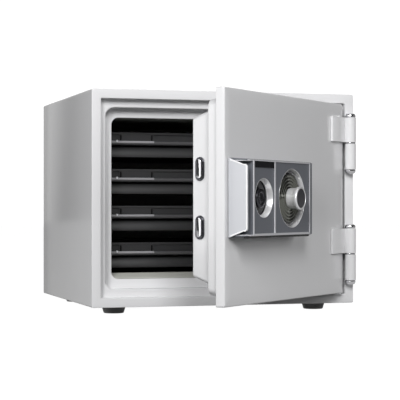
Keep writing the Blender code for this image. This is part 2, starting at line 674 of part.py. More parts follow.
def make_key_lock(door, paint):
    """The key cylinder, and the plug that turns in it with its cam behind the door's fill."""
    floor = DISH_FLOOR
    at = (KEY_X, 0.0, LOCK_Z)
    turned("key_cylinder", door, at, [
        (15.0, -floor + 2.0),
        (15.0, -floor - 3.5),
        (14.0, -floor - 4.5),
        (8.4, -floor - 4.5),
        (7.4, -floor - 3.5),
        (7.4, -floor + 4.0),
        (23.0, -floor + 4.0),
        (23.0, -floor + 2.5),
    ], paint["chrome"], closed=True)
    key = Group("key_turn", at, door)
    plug = turned("key_plug", key, at, [
        (6.4, -floor - 4.5),
        (7.0, -floor - 3.9),
        (7.0, -floor + 4.5),
        (5.0, -floor + 4.5),
        (5.0, PLUG_A_END_Y + 2.0),
        (5.0, PLUG_A_END_Y + 5.5),
    ], paint["brass"])
    keyway = box("keyway", key, (KEY_X - 0.8, -floor - 15.0, LOCK_Z - 3.5),
                 (KEY_X + 0.8, -floor + 3.0, LOCK_Z + 3.5), paint["brass"])
    cut(plug, keyway)
    cam = box("key_cam", key, (KEY_X - 6.0, PLUG_A_END_Y + 5.8, LOCK_Z - 6.0),
              (KEY_X + 6.0, PLUG_A_END_Y + 8.8, LOCK_Z + 22.0), paint["steel"], radius=0.6)
    return cam


def make_dial(door, paint):
    """The dial, its knob and spindle, and the wheel pack that they turn."""
    at = (DIAL_X, 0.0, LOCK_Z)
    dial = Group("dial_spin", at, door)
    floor = DISH_FLOOR
    turned("dial_ring", dial, at, [
        (42.6, -floor - 0.6),
        (43.2, -floor - 1.4),
        (37.0, -floor - 3.4),
        (16.0, -floor - 4.6),
        (4.6, -floor - 4.6),
        (4.6, -floor - 0.6),
    ], paint["dial_black"], closed=True, steps=40)
    back = floor + 4.9
    turned("dial_knob", dial, at, [
        (13.5, -back),
        (13.6, -back - 3.0),
        (14.6, -back - 7.0),
        (17.0, -back - 10.5),
        (18.5, -back - 13.0),
        (18.7, -KNOB_FRONT + 1.0),
        (17.7, -KNOB_FRONT),
        (15.9, -KNOB_FRONT),
        (15.6, -KNOB_FRONT + 1.6),
        (4.6, -KNOB_FRONT + 1.6),
        (4.6, -back),
    ], paint["chrome"], closed=True, steps=40)
    wheel_start = PLUG_A_END_Y + 5.0
    pitch = 6.0
    thickness = 3.2
    cam_y = wheel_start + 3 * pitch
    turned("dial_spindle", dial, at, [
        (4.2, -KNOB_FRONT + 2.0),
        (4.2, cam_y),
        (20.0, cam_y),
        (20.0, cam_y + thickness),
    ], paint["brass"])
    for number in (1, 2, 3):
        group = Group(f"wheel_{number}_spin", at, door)
        near = wheel_start + (number - 1) * pitch
        wheel = turned(f"combination_wheel_{number}", group, at, [
            (22.0, near),
            (22.0, near + thickness),
            (4.6, near + thickness),
            (4.6, near),
        ], paint["brass"], closed=True, steps=32)
        gate = box(f"wheel_{number}_gate", group, (DIAL_X - 2.0, near - 2.0, LOCK_Z + 17.5),
                   (DIAL_X + 2.0, near + thickness + 2.0, LOCK_Z + 26.0), paint["brass"])
        cut(wheel, gate)


def make_handle(door, housing, paint):
    """A flap along the lock's free end, on a pin near the door's face."""
    pivot = (HANDLE_PIVOT_X, -HANDLE_PIVOT_DEPTH, LOCK_Z)
    handle = Group("handle_pull", pivot, door)
    back = -1.5
    front = -HANDLE_FRONT
    half_back = 61.0
    half_front = 51.5
    corner = 5.0
    outline = [(back, -half_back), (back, half_back), (back - 2.0, half_back - 0.4)]
    outline += arc(front + corner, half_front - corner, corner, 70, 180, 6)
    outline += arc(front + corner, -half_front + corner, corner, 180, 290, 6)
    outline += [(back - 2.0, 0.4 - half_back)]
    flap = prism("pull_handle", handle, (HANDLE_LEFT, 0.0, LOCK_Z), outline, "x",
                 0.0, HANDLE_THICKNESS, paint["paint"])
    web = HANDLE_PIVOT_X - HANDLE_LEFT - HANDLE_THICKNESS + 0.5
    knuckle_outline = arc(0.0, 0.0, 3.4, 150, -150, 16) + [(-web, -1.7), (-web, 1.7)]
    knuckle = prism("handle_knuckle", handle, pivot, knuckle_outline, "z", -55.0, 55.0, paint["paint"])
    knuckle.hide_render = True
    knuckle.display_type = "WIRE"
    joined = flap.modifiers.new("with_knuckle", "BOOLEAN")
    joined.operation = "UNION"
    joined.solver = "EXACT"
    joined.object = knuckle
    bore = turned("handle_bore", handle, pivot, [(1.8, -60.3), (1.8, 60.3)],
                  paint["paint"], axis="z", steps=24)
    cut(flap, bore)
    cut(housing, bore)
    turned("handle_pin", door, pivot, [(1.5, -60.0), (1.5, 60.0)], paint["steel"], axis="z", steps=24)


def remove_old_objects():
    for item in list(bpy.data.objects):
        bpy.data.objects.remove(item, do_unlink=True)


def build():
    remove_old_objects()
    paint = make_materials()
    cabinet = Group("cabinet", ORIGIN)
    make_cabinet(cabinet, paint)
    make_feet(cabinet, paint)
    make_racks(cabinet, paint)
    for number in range(1, TRAY_COUNT + 1):
        make_tray(cabinet, number, paint)
    door = Group("door_swing", (HINGE_X, HINGE_Y, 0.0), cabinet)
    plug = make_door(door, paint)
    make_bolts(door, plug, paint)
    for side in HINGE_BOTTOMS:
        make_hinge(cabinet, door, side, paint)
    housing = make_lock(door, paint)
    make_key_lock(door, paint)
    make_dial(door, paint)
    make_handle(door, housing, paint)
    door.empty.rotation_euler.z = DOOR_ANGLE


build()
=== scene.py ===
"""Looks for the fireproof document box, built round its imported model.

Shapes are drawn in millimetres, in cabinet coordinates: x runs right, y back and z up from the front
left corner of the cabinet's underside. The door's pieces are drawn in the same coordinates, where they
lie when the door is shut, and the matrix DOOR stands them open.
"""
import json
import math

import bmesh
import bpy
from mathutils import Matrix, Vector


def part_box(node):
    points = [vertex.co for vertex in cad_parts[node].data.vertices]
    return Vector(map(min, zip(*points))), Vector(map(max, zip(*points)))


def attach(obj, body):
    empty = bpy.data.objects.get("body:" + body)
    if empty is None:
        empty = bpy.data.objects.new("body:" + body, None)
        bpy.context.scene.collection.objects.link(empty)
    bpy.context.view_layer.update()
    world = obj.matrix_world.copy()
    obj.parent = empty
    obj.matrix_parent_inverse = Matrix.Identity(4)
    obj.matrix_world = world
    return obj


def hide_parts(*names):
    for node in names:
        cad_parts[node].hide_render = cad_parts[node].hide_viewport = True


MM = 0.001
SHARP = math.radians(32)        # edges that turn further than this are drawn sharp

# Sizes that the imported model's boxes don't tell
SHEET = 1.5                     # thickness of the sheet metal
CORNER = 3.0                    # radius of the shell's long edges
RING = 16.3                     # width of the front frame's ring
RING_RADIUS = 1.8
LEDGE_1_Y = 16.0                # the frame's first step, going in
STEP_X = 27.5
STEP_Z = 30.5
STEP_RADIUS = 17.0
LEDGE_2_Y = 38.2                # its second step
CHAMBER_X = 43.6                # the chamber's mouth
CHAMBER_Z = 47.0
CHAMBER_RADIUS = 12.5
LIP_END_Y = 44.5
PLUG_A_ROOT = (29.5, 32.6)      # margins in x and z of the plug's first step, at its foot
PLUG_A_END = (31.0, 36.1)       # and at its top
PLUG_A_END_Y = 36.0
PLUG_A_RADIUS = 12.0
PLUG_B_ROOT = (50.0, 47.8)      # the same for its second step
PLUG_B_END = (55.0, 61.8)
PLUG_B_RADIUS = 6.0
DIVIDER = (119.0, 123.0)        # the bar between the lock unit's two windows
DISH_FLOOR = 25.0               # how far the floors of the dishes stand from the door's face
DISH_SLOPE = 2.6                # how much narrower a dish is at its floor
DISH_GAP = 0.6                  # room round a dish in the panel

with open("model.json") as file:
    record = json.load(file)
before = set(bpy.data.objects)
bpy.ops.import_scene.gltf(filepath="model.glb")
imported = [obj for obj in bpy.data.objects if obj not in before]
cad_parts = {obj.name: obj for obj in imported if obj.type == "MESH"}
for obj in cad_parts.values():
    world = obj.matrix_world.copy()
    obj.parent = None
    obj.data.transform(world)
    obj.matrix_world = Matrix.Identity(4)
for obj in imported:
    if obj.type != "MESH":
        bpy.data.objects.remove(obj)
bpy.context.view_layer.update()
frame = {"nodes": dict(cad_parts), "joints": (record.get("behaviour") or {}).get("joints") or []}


# Places

def turned_about(point, angle):
    return Matrix.Translation(point) @ Matrix.Rotation(angle, 4, "Z") @ Matrix.Translation(-point)


SWING = next(joint for joint in frame["joints"] if joint["name"] == "door_swing")
HINGE = Vector(SWING["pos_m"])
OPEN_ANGLE = math.radians(-SWING["range_deg"][0])
CABINET = Matrix.Translation(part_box("front_frame")[0])
DOOR = turned_about(HINGE, OPEN_ANGLE) @ CABINET


def measure(node, place):
    """Lowest and highest corner of a CAD node along a place's own axes, in millimetres."""
    back = place.inverted()
    points = [(back @ vertex.co) / MM for vertex in frame["nodes"][node].data.vertices]
    low = Vector([min(point[i] for point in points) for i in range(3)])
    high = Vector([max(point[i] for point in points) for i in range(3)])
    return low, high


def middle(node, place):
    low, high = measure(node, place)
    return (low + high) / 2


def radius_of(node, place):
    low, high = measure(node, place)
    return (high[0] - low[0]) / 2


def on_face(node):
    """The middle of a node, taken to the door's face."""
    centre = middle(node, DOOR)
    return (centre[0], 0.0, centre[2])


WIDTH, DEPTH, HEIGHT = measure("outer_shell", CABINET)[1]


# Outlines

def arc(centre_a, centre_b, radius, start, end, steps):
    """Points on an arc from start to end, in degrees, both ends included."""
    points = []
    for i in range(steps + 1):
        angle = math.radians(start + (end - start) * i / steps)
        points.append((centre_a + radius * math.cos(angle), centre_b + radius * math.sin(angle)))
    return points


def circle(radius, steps):
    return arc(0.0, 0.0, radius, 0.0, 360.0 * (steps - 1) / steps, steps - 1)


def rounded_rectangle(width, height, radius, steps=10):
    """An outline centred on (0, 0), with the same number of points whatever its radius."""
    a = width / 2 - radius
    b = height / 2 - radius
    return (
        arc(a, b, radius, 0, 90, steps)
        + arc(-a, b, radius, 90, 180, steps)
        + arc(-a, -b, radius, 180, 270, steps)
        + arc(a, -b, radius, 270, 360, steps)
    )


def soften(points, radii, closed=False, steps=4):
    """Round a path's corners. A point's first two numbers are its place, and the rest go along."""
    if not isinstance(radii, (list, tuple)):
        radii = [radii] * len(points)
    path = []
    for i, (point, radius) in enumerate(zip(points, radii)):
        at_end = not closed and i in (0, len(points) - 1)
        if at_end or radius == 0:
            path.append(tuple(point))
            continue
        before = points[i - 1]
        after = points[(i + 1) % len(points)]
        reach_before = math.dist(point[:2], before[:2])
        reach_after = math.dist(point[:2], after[:2])
        reach = min(radius, 0.48 * reach_before, 0.48 * reach_after)
        for k in range(steps + 1):
            angle = math.pi / 2 * k / steps
            to_before = reach / reach_before * (1 - math.sin(angle))
            to_after = reach / reach_after * (1 - math.cos(angle))
            path.append(tuple(
                p + (b - p) * to_before + (a - p) * to_after
                for p, b, a in zip(point, before, after)
            ))
    return path


# Solids, each as a bmesh in millimetres

def loft(rings, closed=False):
    """A solid through rings of points: with closed, the last ring joins the first."""
    shape = bmesh.new()
    rows = [[shape.verts.new(point) for point in ring] for ring in rings]
    pairs = list(zip(rows, rows[1:]))
    if closed:
        pairs.append((rows[-1], rows[0]))
    else:
        shape.faces.new(rows[0])
        shape.faces.new(rows[-1])
    count = len(rows[0])
    for near, far in pairs:
        for i in range(count):
            j = (i + 1) % count
            shape.faces.new((near[i], near[j], far[j], far[i]))
    bmesh.ops.recalc_face_normals(shape, faces=shape.faces)
    return shape


def nested(path, radii, closed=False):
    """A solid through upright rounded rectangles: (margin_x, y, margin_z, radius) from the outside."""
    rings = []
    for margin_x, y, margin_z, radius in soften(path, radii, closed):
        outline = rounded_rectangle(WIDTH - 2 * margin_x, HEIGHT - 2 * margin_z, radius)
        rings.append([(WIDTH / 2 + a, y, HEIGHT / 2 + b) for a, b in outline])
    return loft(rings, closed)


def turned(at, profile, radii=0, axis="y", closed=False, steps=96):
    """A solid turned about y or z from (radius, distance along the axis) pairs."""
    rings = []
    for radius, along in soften(profile, radii, closed):
        ring = []
        for a, b in circle(radius, steps):
            offset = (a, along, b) if axis == "y" else (a, b, along)
            ring.append(tuple(p + q for p, q in zip(at, offset)))
        rings.append(ring)
    return loft(rings, closed)


def prism(outline, axis, start, end, at=(0.0, 0.0, 0.0)):
    """An outline drawn in the plane across x, y or z, stretched along that axis."""
    rings = []
    for along in (start, end):
        ring = []
        for a, b in outline:
            offset = {"x": (along, a, b), "y": (a, along, b), "z": (a, b, along)}[axis]
            ring.append(tuple(p + q for p, q in zip(at, offset)))
        rings.append(ring)
    return loft(rings)


def block(low, high):
    outline = [(low[0], low[1]), (high[0], low[1]), (high[0], high[1]), (low[0], high[1])]
    return prism(outline, "z", low[2], high[2])


def make_mesh(name, shape):
    mesh = bpy.data.meshes.new(name)
    shape.to_mesh(mesh)
    shape.free()
    return mesh


def add_object(name, data):
    item = bpy.data.objects.new(name, data)
    bpy.context.scene.collection.objects.link(item)
    return item


def combine(shape, other, operation="DIFFERENCE"):
    """Cut one solid out of another, or unite them."""
    item = add_object("working", make_mesh("working", shape))
    tool = add_object("working", make_mesh("working", other))
    boolean = item.modifiers.new("combine", "BOOLEAN")
    boolean.operation = operation
    boolean.solver = "EXACT"
    boolean.object = tool
    result = bmesh.new()
    result.from_object(item, bpy.context.evaluated_depsgraph_get())
    for done in (item, tool):
        bpy.data.objects.remove(done)
    bmesh.ops.dissolve_limit(
        result, angle_limit=math.radians(0.3), verts=result.verts, edges=result.edges
    )
    return result


def together(shapes):
    """Several separate solids as one shape."""
    whole = shapes[0]
    for other in shapes[1:]:
        mesh = make_mesh("working", other)
        whole.from_mesh(mesh)
        bpy.data.meshes.remove(mesh)
    return whole


# Materials

def fill(node, **values):
    """Set a node's input sockets. Underscores stand for the spaces in their names."""
    for name, value in values.items():
        node.inputs[name.replace("_", " ")].default_value = value


class Look:
    """A node-based material in the making. Its textures run in object space, in metres."""

    def __init__(self, name, slot, colour, roughness, metallic=0.0):
        self.material = bpy.data.materials.new(name)
        self.material["slot"] = slot
        self.material.use_nodes = True
        self.tree = self.material.node_tree
        self.shader = self.tree.nodes["Principled BSDF"]
        fill(self.shader, Base_Color=(*colour, 1.0), Roughness=roughness, Metallic=metallic)
        self.colour = colour
        self.roughness = roughness
        self.places = self.tree.nodes.new("ShaderNodeTexCoord")

    def set(self, **values):
        fill(self.shader, **values)
        return self

    def noise(self, scale, detail=3.0, stretch=(1.0, 1.0, 1.0)):
        mapping = self.tree.nodes.new("ShaderNodeMapping")
        fill(mapping, Scale=stretch)
        texture = self.tree.nodes.new("ShaderNodeTexNoise")
        fill(texture, Scale=scale, Detail=detail)
        self.tree.links.new(self.places.outputs["Object"], mapping.inputs["Vector"])
        self.tree.links.new(mapping.outputs["Vector"], texture.inputs["Vector"])
        return texture.outputs["Fac"]

    def vary_colour(self, amount, *grain):
        """Darken and lighten the colour by a share of itself. The grain is what noise takes."""
        mix = self.tree.nodes.new("ShaderNodeMix")
        mix.data_type = "RGBA"
        darker = [c * (1 - amount) for c in self.colour]
        lighter = [min(1.0, c * (1 + amount)) for c in self.colour]
        fill(mix, A=(*darker, 1.0), B=(*lighter, 1.0))
        self.tree.links.new(self.noise(*grain), mix.inputs["Factor"])
        self.tree.links.new(mix.outputs["Result"], self.shader.inputs["Base Color"])
        return self

    def vary_roughness(self, amount, *grain):
        spread = self.tree.nodes.new("ShaderNodeMapRange")
        fill(spread, To_Min=max(0.0, self.roughness - amount), To_Max=min(1.0, self.roughness + amount))
        self.tree.links.new(self.noise(*grain), spread.inputs["Value"])
        self.tree.links.new(spread.outputs["Result"], self.shader.inputs["Roughness"])
        return self

    def bump(self, height, *grain):
        """Raise the surface by noise, up to a height in millimetres. This ends the making."""
        bump = self.tree.nodes.new("ShaderNodeBump")
        fill(bump, Strength=1.0, Distance=height * MM)
        self.tree.links.new(self.noise(*grain), bump.inputs["Height"])
        self.tree.links.new(bump.outputs["Normal"], self.shader.inputs["Normal"])
        return self.material


# Sprayed enamels, semi-gloss, with a faint orange peel
PAINT = (
    Look("light_grey_enamel", "paint", (0.74, 0.74, 0.75), 0.42)
    .set(Coat_Weight=0.8, Coat_Roughness=0.1)
    .vary_colour(0.015, 9.0)
    .vary_roughness(0.05, 60.0)
    .bump(0.012, 420.0, 2.0)
)
FLAP_PAINT = (
    Look("silver_grey_enamel", "paint", (0.62, 0.63, 0.66), 0.4, 0.45)
    .set(Coat_Weight=0.3, Coat_Roughness=0.12)
    .vary_colour(0.015, 25.0)
    .bump(0.01, 420.0, 2.0)
)
# A near-white enamel for the raised edge round the pull: a painted highlight
RIM_HIGHLIGHT_PAINT = (
    Look("edge_enamel_painted_highlight", "paint", (0.9, 0.9, 0.91), 0.25)
    .set(Coat_Weight=0.8, Coat_Roughness=0.08)
    .vary_colour(0.01, 25.0)
    .bump(0.01, 420.0, 2.0)
)
# The cabinet's light grey enamel made a little darker for the plug and the door's back: painted shade
PLUG_SHADED_PAINT = (
    Look("plug_enamel_painted_shade", "paint", (0.69, 0.69, 0.7), 0.45)
    .set(Coat_Weight=0.7, Coat_Roughness=0.12)
    .vary_colour(0.015, 9.0)
    .vary_roughness(0.05, 60.0)
    .bump(0.012, 420.0, 2.0)
)

# Inside the cabinet
LINER = (
    Look("liner_coating", "liner", (0.3, 0.3, 0.28), 0.6)
    .vary_colour(0.04, 14.0)
    .bump(0.03, 900.0)
)
SILL = (
    Look("zinc_grey_sill", "liner", (0.5, 0.5, 0.46), 0.5)
    .vary_colour(0.05, 16.0)
    .bump(0.02, 800.0)
)
CONCRETE = (
    Look("insulating_fill", "fill", (0.55, 0.53, 0.5), 0.95)
    .vary_colour(0.2, 80.0, 6.0)
    .bump(0.4, 300.0, 6.0)
)
SEAL = (
    Look("heat_seal", "seal", (0.42, 0.42, 0.42), 0.85)
    .vary_colour(0.15, 500.0, 5.0)
    .bump(0.15, 900.0, 5.0)
)
RUBBER = (
    Look("grey_rubber", "rubber", (0.3, 0.3, 0.3), 0.5)
    .vary_colour(0.08, 60.0, 4.0)
    .bump(0.04, 1000.0, 3.0)
)

# Metals, brushed along one axis where the grain is stretched
SILVER_GRAIN = (400.0, 4.0, (6.0, 6.0, 0.15))
CHROME = (
    Look("polished_chrome", "chrome", (0.82, 0.82, 0.84), 0.07, 1.0)
    .vary_roughness(0.03, 120.0, 5.0)
    .bump(0.01, 70.0)
)
SATIN = (
    Look("satin_chrome", "chrome", (0.9, 0.9, 0.91), 0.3, 0.6)
    .vary_roughness(0.04, 90.0)
    .bump(0.003, 500.0)
)
DARK_CHROME = (
    Look("smoked_chrome", "chrome", (0.09, 0.09, 0.1), 0.18, 1.0)
    .vary_roughness(0.05, 150.0)
    .bump(0.006, 300.0)
)
SILVER = (
    Look("satin_silver", "silver", (0.72, 0.72, 0.75), 0.42, 0.55)
    .vary_roughness(0.08, *SILVER_GRAIN)
    .bump(0.006, *SILVER_GRAIN)
)
STEEL = (
    Look("plain_steel", "steel", (0.5, 0.5, 0.52), 0.4, 1.0)
    .vary_colour(0.06, 90.0, 4.0)
    .bump(0.02, 500.0, 4.0, (0.2, 1.0, 1.0))
)
BRASS = (
    Look("turned_brass", "brass", (0.62, 0.48, 0.22), 0.3, 1.0)
    .vary_colour(0.06, 60.0, 4.0)
    .bump(0.01, 800.0, 3.0, (1.0, 0.2, 1.0))
)

# The lock unit and its dial, a dark turned metal with a trace of green
LOCK_PLASTIC = (
    Look("lock_panel_plastic", "lock_plastic", (0.122, 0.129, 0.147), 0.38)
    .vary_roughness(0.05, 200.0)
    .bump(0.02, 1600.0, 2.0)
)
DISC_BLACK = (
    Look("knob_disc_black", "lock_plastic", (0.035, 0.035, 0.04), 0.3)
    .vary_roughness(0.06, 220.0)
    .bump(0.01, 700.0)
)
STRIP = (
    Look("black_strip", "dial_face", (0.008, 0.008, 0.01), 0.16)
    .vary_roughness(0.04, 150.0)
    .bump(0.004, 300.0)
)
DIAL_FACE = (
    Look("dial_face_metal", "dial_face", (0.2, 0.205, 0.18), 0.14, 1.0)
    .vary_roughness(0.06, 180.0, 4.0)
    .bump(0.006, 250.0)
)
MARKS = (
    Look("dial_marks", "silver", (0.75, 0.75, 0.76), 0.5)
    .bump(0.01, 2000.0)
)

# Tray plastics, with a fine moulded texture
TRAY = (
    Look("tray_plastic", "tray", (0.019, 0.019, 0.02), 0.42)
    .set(Specular_IOR_Level=0.37)
    .vary_roughness(0.05, 120.0)
    .bump(0.03, 1500.0, 2.0)
)
# Near-black inserts for the label holders' slots: painted shade, standing for the shade inside the slots
SLOT_SHADE = (
    Look("label_slot_painted_shade", "tray", (0.004, 0.004, 0.004), 0.7)
    .set(Specular_IOR_Level=0.1)
    .bump(0.02, 900.0)
)
GRIP = (
    Look("grip_plastic", "grip", (0.06, 0.06, 0.063), 0.32)
    .vary_roughness(0.05, 160.0)
    .bump(0.015, 1200.0, 2.0)
)
# A lighter grey for the strip along each tray's lip: painted light where the lamps fall on the lip
LIT_RAIL = (
    Look("lip_strip_painted_light", "grip", (0.27, 0.27, 0.28), 0.28)
    .vary_colour(0.12, 220.0, 4.0)
    .bump(0.015, 1200.0, 2.0)
)


def piece(name, shape, body, material, nodes=(), bevel=0.0):
    """A shape as a piece that rides on a body and stands for CAD nodes."""
    mesh = make_mesh(name, shape)
    mesh.transform(Matrix.Scale(MM, 4))
    mesh.materials.append(material)
    mesh.shade_smooth()
    mesh.set_sharp_from_angle(angle=SHARP)
    item = add_object(name, mesh)
    item.matrix_world = CABINET if body == "cabinet" or body.startswith("tray_") else DOOR
    if bevel:
        rounding = item.modifiers.new("rounded_edges", "BEVEL")
        rounding.width = bevel * MM
        rounding.segments = 3
        rounding.limit_method = "ANGLE"
        rounding.angle_limit = SHARP
        rounding.harden_normals = True
    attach(item, body)
    if nodes:
        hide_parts(*nodes)
    return item


# Cabinet

def make_shell():
    """The outer sheet, open in front, with its back panel pressed in a little."""
    panel = 14.0
    pressed = 0.8
    path = [
        (panel + 2.0, DEPTH - pressed, panel + 2.0, 8.0),
        (panel + 1.0, DEPTH - pressed, panel + 1.0, 8.5),
        (panel, DEPTH, panel, 9.0),
        (0.0, DEPTH, 0.0, CORNER),
        (0.0, SHEET + 0.3, 0.0, CORNER),
        (SHEET, SHEET + 0.3, SHEET, CORNER - 1.0),
        (SHEET, DEPTH - 2 * SHEET, SHEET, CORNER - 1.0),
    ]
    shape = nested(path, [0, 0.5, 0.5, 2.6, 0.2, 0, 0])
    piece("cabinet_shell", shape, "cabinet", PAINT, ["outer_shell"])


def make_front_frame():
    """The ring round the door and the two steps that go in to the chamber, of one bent sheet."""
    front = [
        (0.0, SHEET, 0.0, CORNER),
        (0.0, 0.0, 0.0, CORNER),
        (RING, 0.0, RING, RING_RADIUS),
        (RING, LEDGE_1_Y, RING, RING_RADIUS),
        (STEP_X, LEDGE_1_Y, STEP_Z, STEP_RADIUS),
        (STEP_X, LEDGE_2_Y, STEP_Z, STEP_RADIUS),
        (CHAMBER_X, LEDGE_2_Y, CHAMBER_Z, CHAMBER_RADIUS),
        (CHAMBER_X, LIP_END_Y, CHAMBER_Z, CHAMBER_RADIUS),
    ]
    hidden = [
        (margin_x - SHEET, min(y + SHEET, LIP_END_Y), margin_z - SHEET, radius + SHEET)
        for margin_x, y, margin_z, radius in reversed(front[2:])
    ]
    radii = [0, 1.4, 1.5, 1.0, 1.8, 1.0, 1.8, 0] + [0] * len(hidden)
    shape = nested(front + hidden, radii, closed=True)
    piece("cabinet_front_frame", shape, "cabinet", PAINT, ["front_frame"])


def make_liner():
    low, high = measure("inner_liner", CABINET)
    back_corner = 14.0
    path = [
        (low[0], high[1], low[2], CHAMBER_RADIUS + SHEET),
        (low[0], low[1], low[2], CHAMBER_RADIUS + SHEET),
        (CHAMBER_X, low[1], CHAMBER_Z, CHAMBER_RADIUS),
        (CHAMBER_X, high[1] - SHEET, CHAMBER_Z, CHAMBER_RADIUS),
        (CHAMBER_X + back_corner, high[1] - SHEET, CHAMBER_Z + back_corner, 3.0),
    ]
    shape = combine(nested(path, [0, 0, 0, 6.0, 0]), keeper_pockets())
    piece("chamber_liner", shape, "cabinet", LINER, ["inner_liner"])


def make_sill():
    """The ramp behind the chamber's lower lip."""
    start = LIP_END_Y + 0.8
    end = start + 27.0
    low = CHAMBER_Z + 0.3
    top = low + 8.8
    side = CHAMBER_X + 3.0
    outline = [
        (start, low),
        (start + 1.0, low + 1.4),
        (end - 2.0, top),
        (end - 0.5, top),
        (end, top - 0.8),
        (end, low),
    ]
    shape = prism(soften(outline, [0, 0.6, 2.0, 0.5, 0.5, 0]), "x", side, WIDTH - side)
    piece("chamber_sill", shape, "cabinet", SILL, bevel=0.3)


def keeper_pockets():
    """The two slots in the liner's left wall that the bolts pass through."""
    margin_y = 2.0
    margin_z = 3.0
    shapes = []
    for side in ("upper", "lower"):
        low, high = measure("lock_bolt_" + side, DOOR)
        shapes.append(block((low[0] - 8.0, low[1] - margin_y, low[2] - margin_z),
                            (low[0] + 2.0, high[1] + margin_y, high[2] + margin_z)))
    return together(shapes)


def make_feet():
    """Round feet that widen upwards, with a screw's recess below."""
    for place in ("front_left", "front_right", "back_left", "back_right"):
        low, high = measure("foot_" + place, CABINET)
        centre = ((low[0] + high[0]) / 2, (low[1] + high[1]) / 2, 0.0)
        radius = radius_of("foot_" + place, CABINET)
        profile = [
            (5.0, low[2] + 3.0),
            (6.0, low[2] + 3.0),
            (7.0, low[2]),
            (radius - 4.0, low[2]),
            (radius - 0.6, high[2] - 2.2),
            (radius, high[2] - 1.4),
            (radius, high[2]),
        ]
        shape = turned(centre, profile, [0, 0.5, 0.8, 1.2, 0.6, 0.4, 0], "z")
        piece("rubber_foot_" + place, shape, "cabinet", RUBBER, ["foot_" + place])


# Trays

# The hollow under a tray's lip, as heights above the tray's underside and a depth
SCOOP_BASE = 1.0
SCOOP_TOP = 21.3
SCOOP_DEPTH = 13.0


def scoop(z):
    """How far the front wall is hollowed at a height, to let fingers in under the lip."""
    share = (z - SCOOP_BASE) / (SCOOP_TOP - SCOOP_BASE)
    return SCOOP_DEPTH * (1 - math.sqrt(1 - share * share))


def make_tray(tray):
    """A tray with a rim, and with a front wall that is hollowed under the lip."""
    low, high = measure(tray, CABINET)
    centre = (low + high) / 2
    size = high - low
    wall = 2.0
    rim = 1.6
    outside = 1.0
    outside_radius = 4.2
    inside = outside + wall
    inside_radius = 3.0
    floor_round = 2.0 * wall

    def level(inset, z, radius, hollow=0.0):
        ring = []
        for a, b in rounded_rectangle(size[0] - 2 * inset, size[1] - 2 * inset, radius):
            push = hollow if b < 0 else 0.0
            ring.append((centre[0] + a, centre[1] + b + push, low[2] + z))
        return ring

    heights = [SCOOP_BASE + (SCOOP_TOP - SCOOP_BASE) * math.sin(math.radians(a)) for a in range(6, 91, 6)]
    rings = [level(inside, 0.0, 3.0), level(1.2, 0.0, 4.0), level(outside, 1.0, outside_radius)]
    rings += [level(outside, z, outside_radius, scoop(z)) for z in heights]
    rings += [level(inset, z, radius) for inset, z, radius in soften([
        (outside, SCOOP_TOP + 0.2, outside_radius),
        (rim, size[2] - 5.0, 4.6),
        (0.0, size[2] - 4.4, 5.0),
        (0.0, size[2], 5.0),
        (rim + wall, size[2], inside_radius),
        (inside, SCOOP_TOP + wall, inside_radius),
    ], [0, 0.4, 0.4, 0.9, 0.7, 0])]
    rings += [level(inside, z + 0.2, inside_radius, scoop(z)) for z in reversed(heights) if z > floor_round]
    rings += [level(inside, floor_round, inside_radius, 0.2), level(inside + wall, wall, 3.0),
              level(inside + 18.0, wall, 3.0)]
    piece(tray + "_body", loft(rings), tray, TRAY, [tray])
    make_grip(tray)
    make_label_holder(tray)


def make_grip(tray):
    low, high = measure(tray + "_grip", CABINET)
    outline = [
        (high[1], low[2]),
        (low[1] + 1.6, low[2] + 0.8),
        (low[1], low[2] + 2.8),
        (low[1], high[2] - 1.4),
        (low[1] + 1.8, high[2]),
        (high[1] - 2.0, high[2] - 1.6),
        (high[1], high[2] - 1.6),
    ]
    outline = soften(outline, [0, 1.2, 1.2, 1.0, 1.0, 0.8, 0])
    shape = prism(outline, "x", low[0], high[0])
    piece(tray + "_pull_lip", shape, tray, GRIP, [tray + "_grip"], bevel=0.3)


def make_label_holder(tray):
    """A raised frame for a paper label, with a slot at each end that holds a black insert as painted shade,
    and below it a lighter strip that is painted light.
    """
    low, high = measure(tray + "_label_holder", CABINET)
    border = 6.0
    slot_width = 3.2
    slot_top = high[2] - 3.4
    plate = block((low[0], low[1] + 0.5, low[2]), (high[0], high[1], high[2]))
    window = block((low[0] + border, low[1], low[2] + 1.0), (high[0] - border, high[1] - 0.6, high[2] - 1.6))
    shape = combine(plate, window)
    slots = []
    for left in (low[0] + 1.4, high[0] - 1.4 - slot_width):
        right = left + slot_width
        shape = combine(shape, block((left, low[1] - 1.0, low[2] - 1.0), (right, high[1] - 0.4, slot_top)))
        # Black inserts at the back of the slots, as painted shade
        slots.append(block((left, high[1] - 0.5, low[2]), (right, high[1] - 0.1, slot_top)))
    piece(tray + "_label_pocket", shape, tray, TRAY, [tray + "_label_holder"], bevel=0.25)
    piece(tray + "_label_slot_shades", together(slots), tray, SLOT_SHADE)
    make_lip_light_strip(tray, low[0], high[0])


def make_lip_light_strip(tray, holder_left, holder_right):
    """A lighter strip along the lip, as far as the label holder reaches, which is painted light, and its end
    piece.
    """
    low, high = measure(tray + "_grip", CABINET)
    front = low[1] - 0.5
    back = low[1] + 0.3
    top = high[2] + 0.3
    bottom = high[2] - 3.4
    outline = [
        (front, bottom),
        (front, top - 2.0),
        (front + 2.0, top),
        (back + 2.0, top - 0.6),
        (back, top - 2.2),
        (back, bottom),
    ]
    outline = soften(outline, [0.1, 0.5, 0.2, 0, 0.4, 0], closed=True)
    # The strip's lighter colour is painted light on the lip
    rail = prism(outline, "x", low[0] - 9.0, holder_right)
    piece(tray + "_lit_lip_strip", rail, tray, LIT_RAIL)
    at = (holder_left - 4.5, low[1] + 1.2, high[2] - 1.2)
    profile = [(0.2, 2.6), (1.5, 2.6), (2.0, 2.0), (2.0, -1.0), (0.2, -1.0)]
    nib = turned(at, profile, [0, 0.5, 0.5, 0, 0], "z", steps=32)
    piece(tray + "_rail_end", nib, tray, SILVER)


# Door

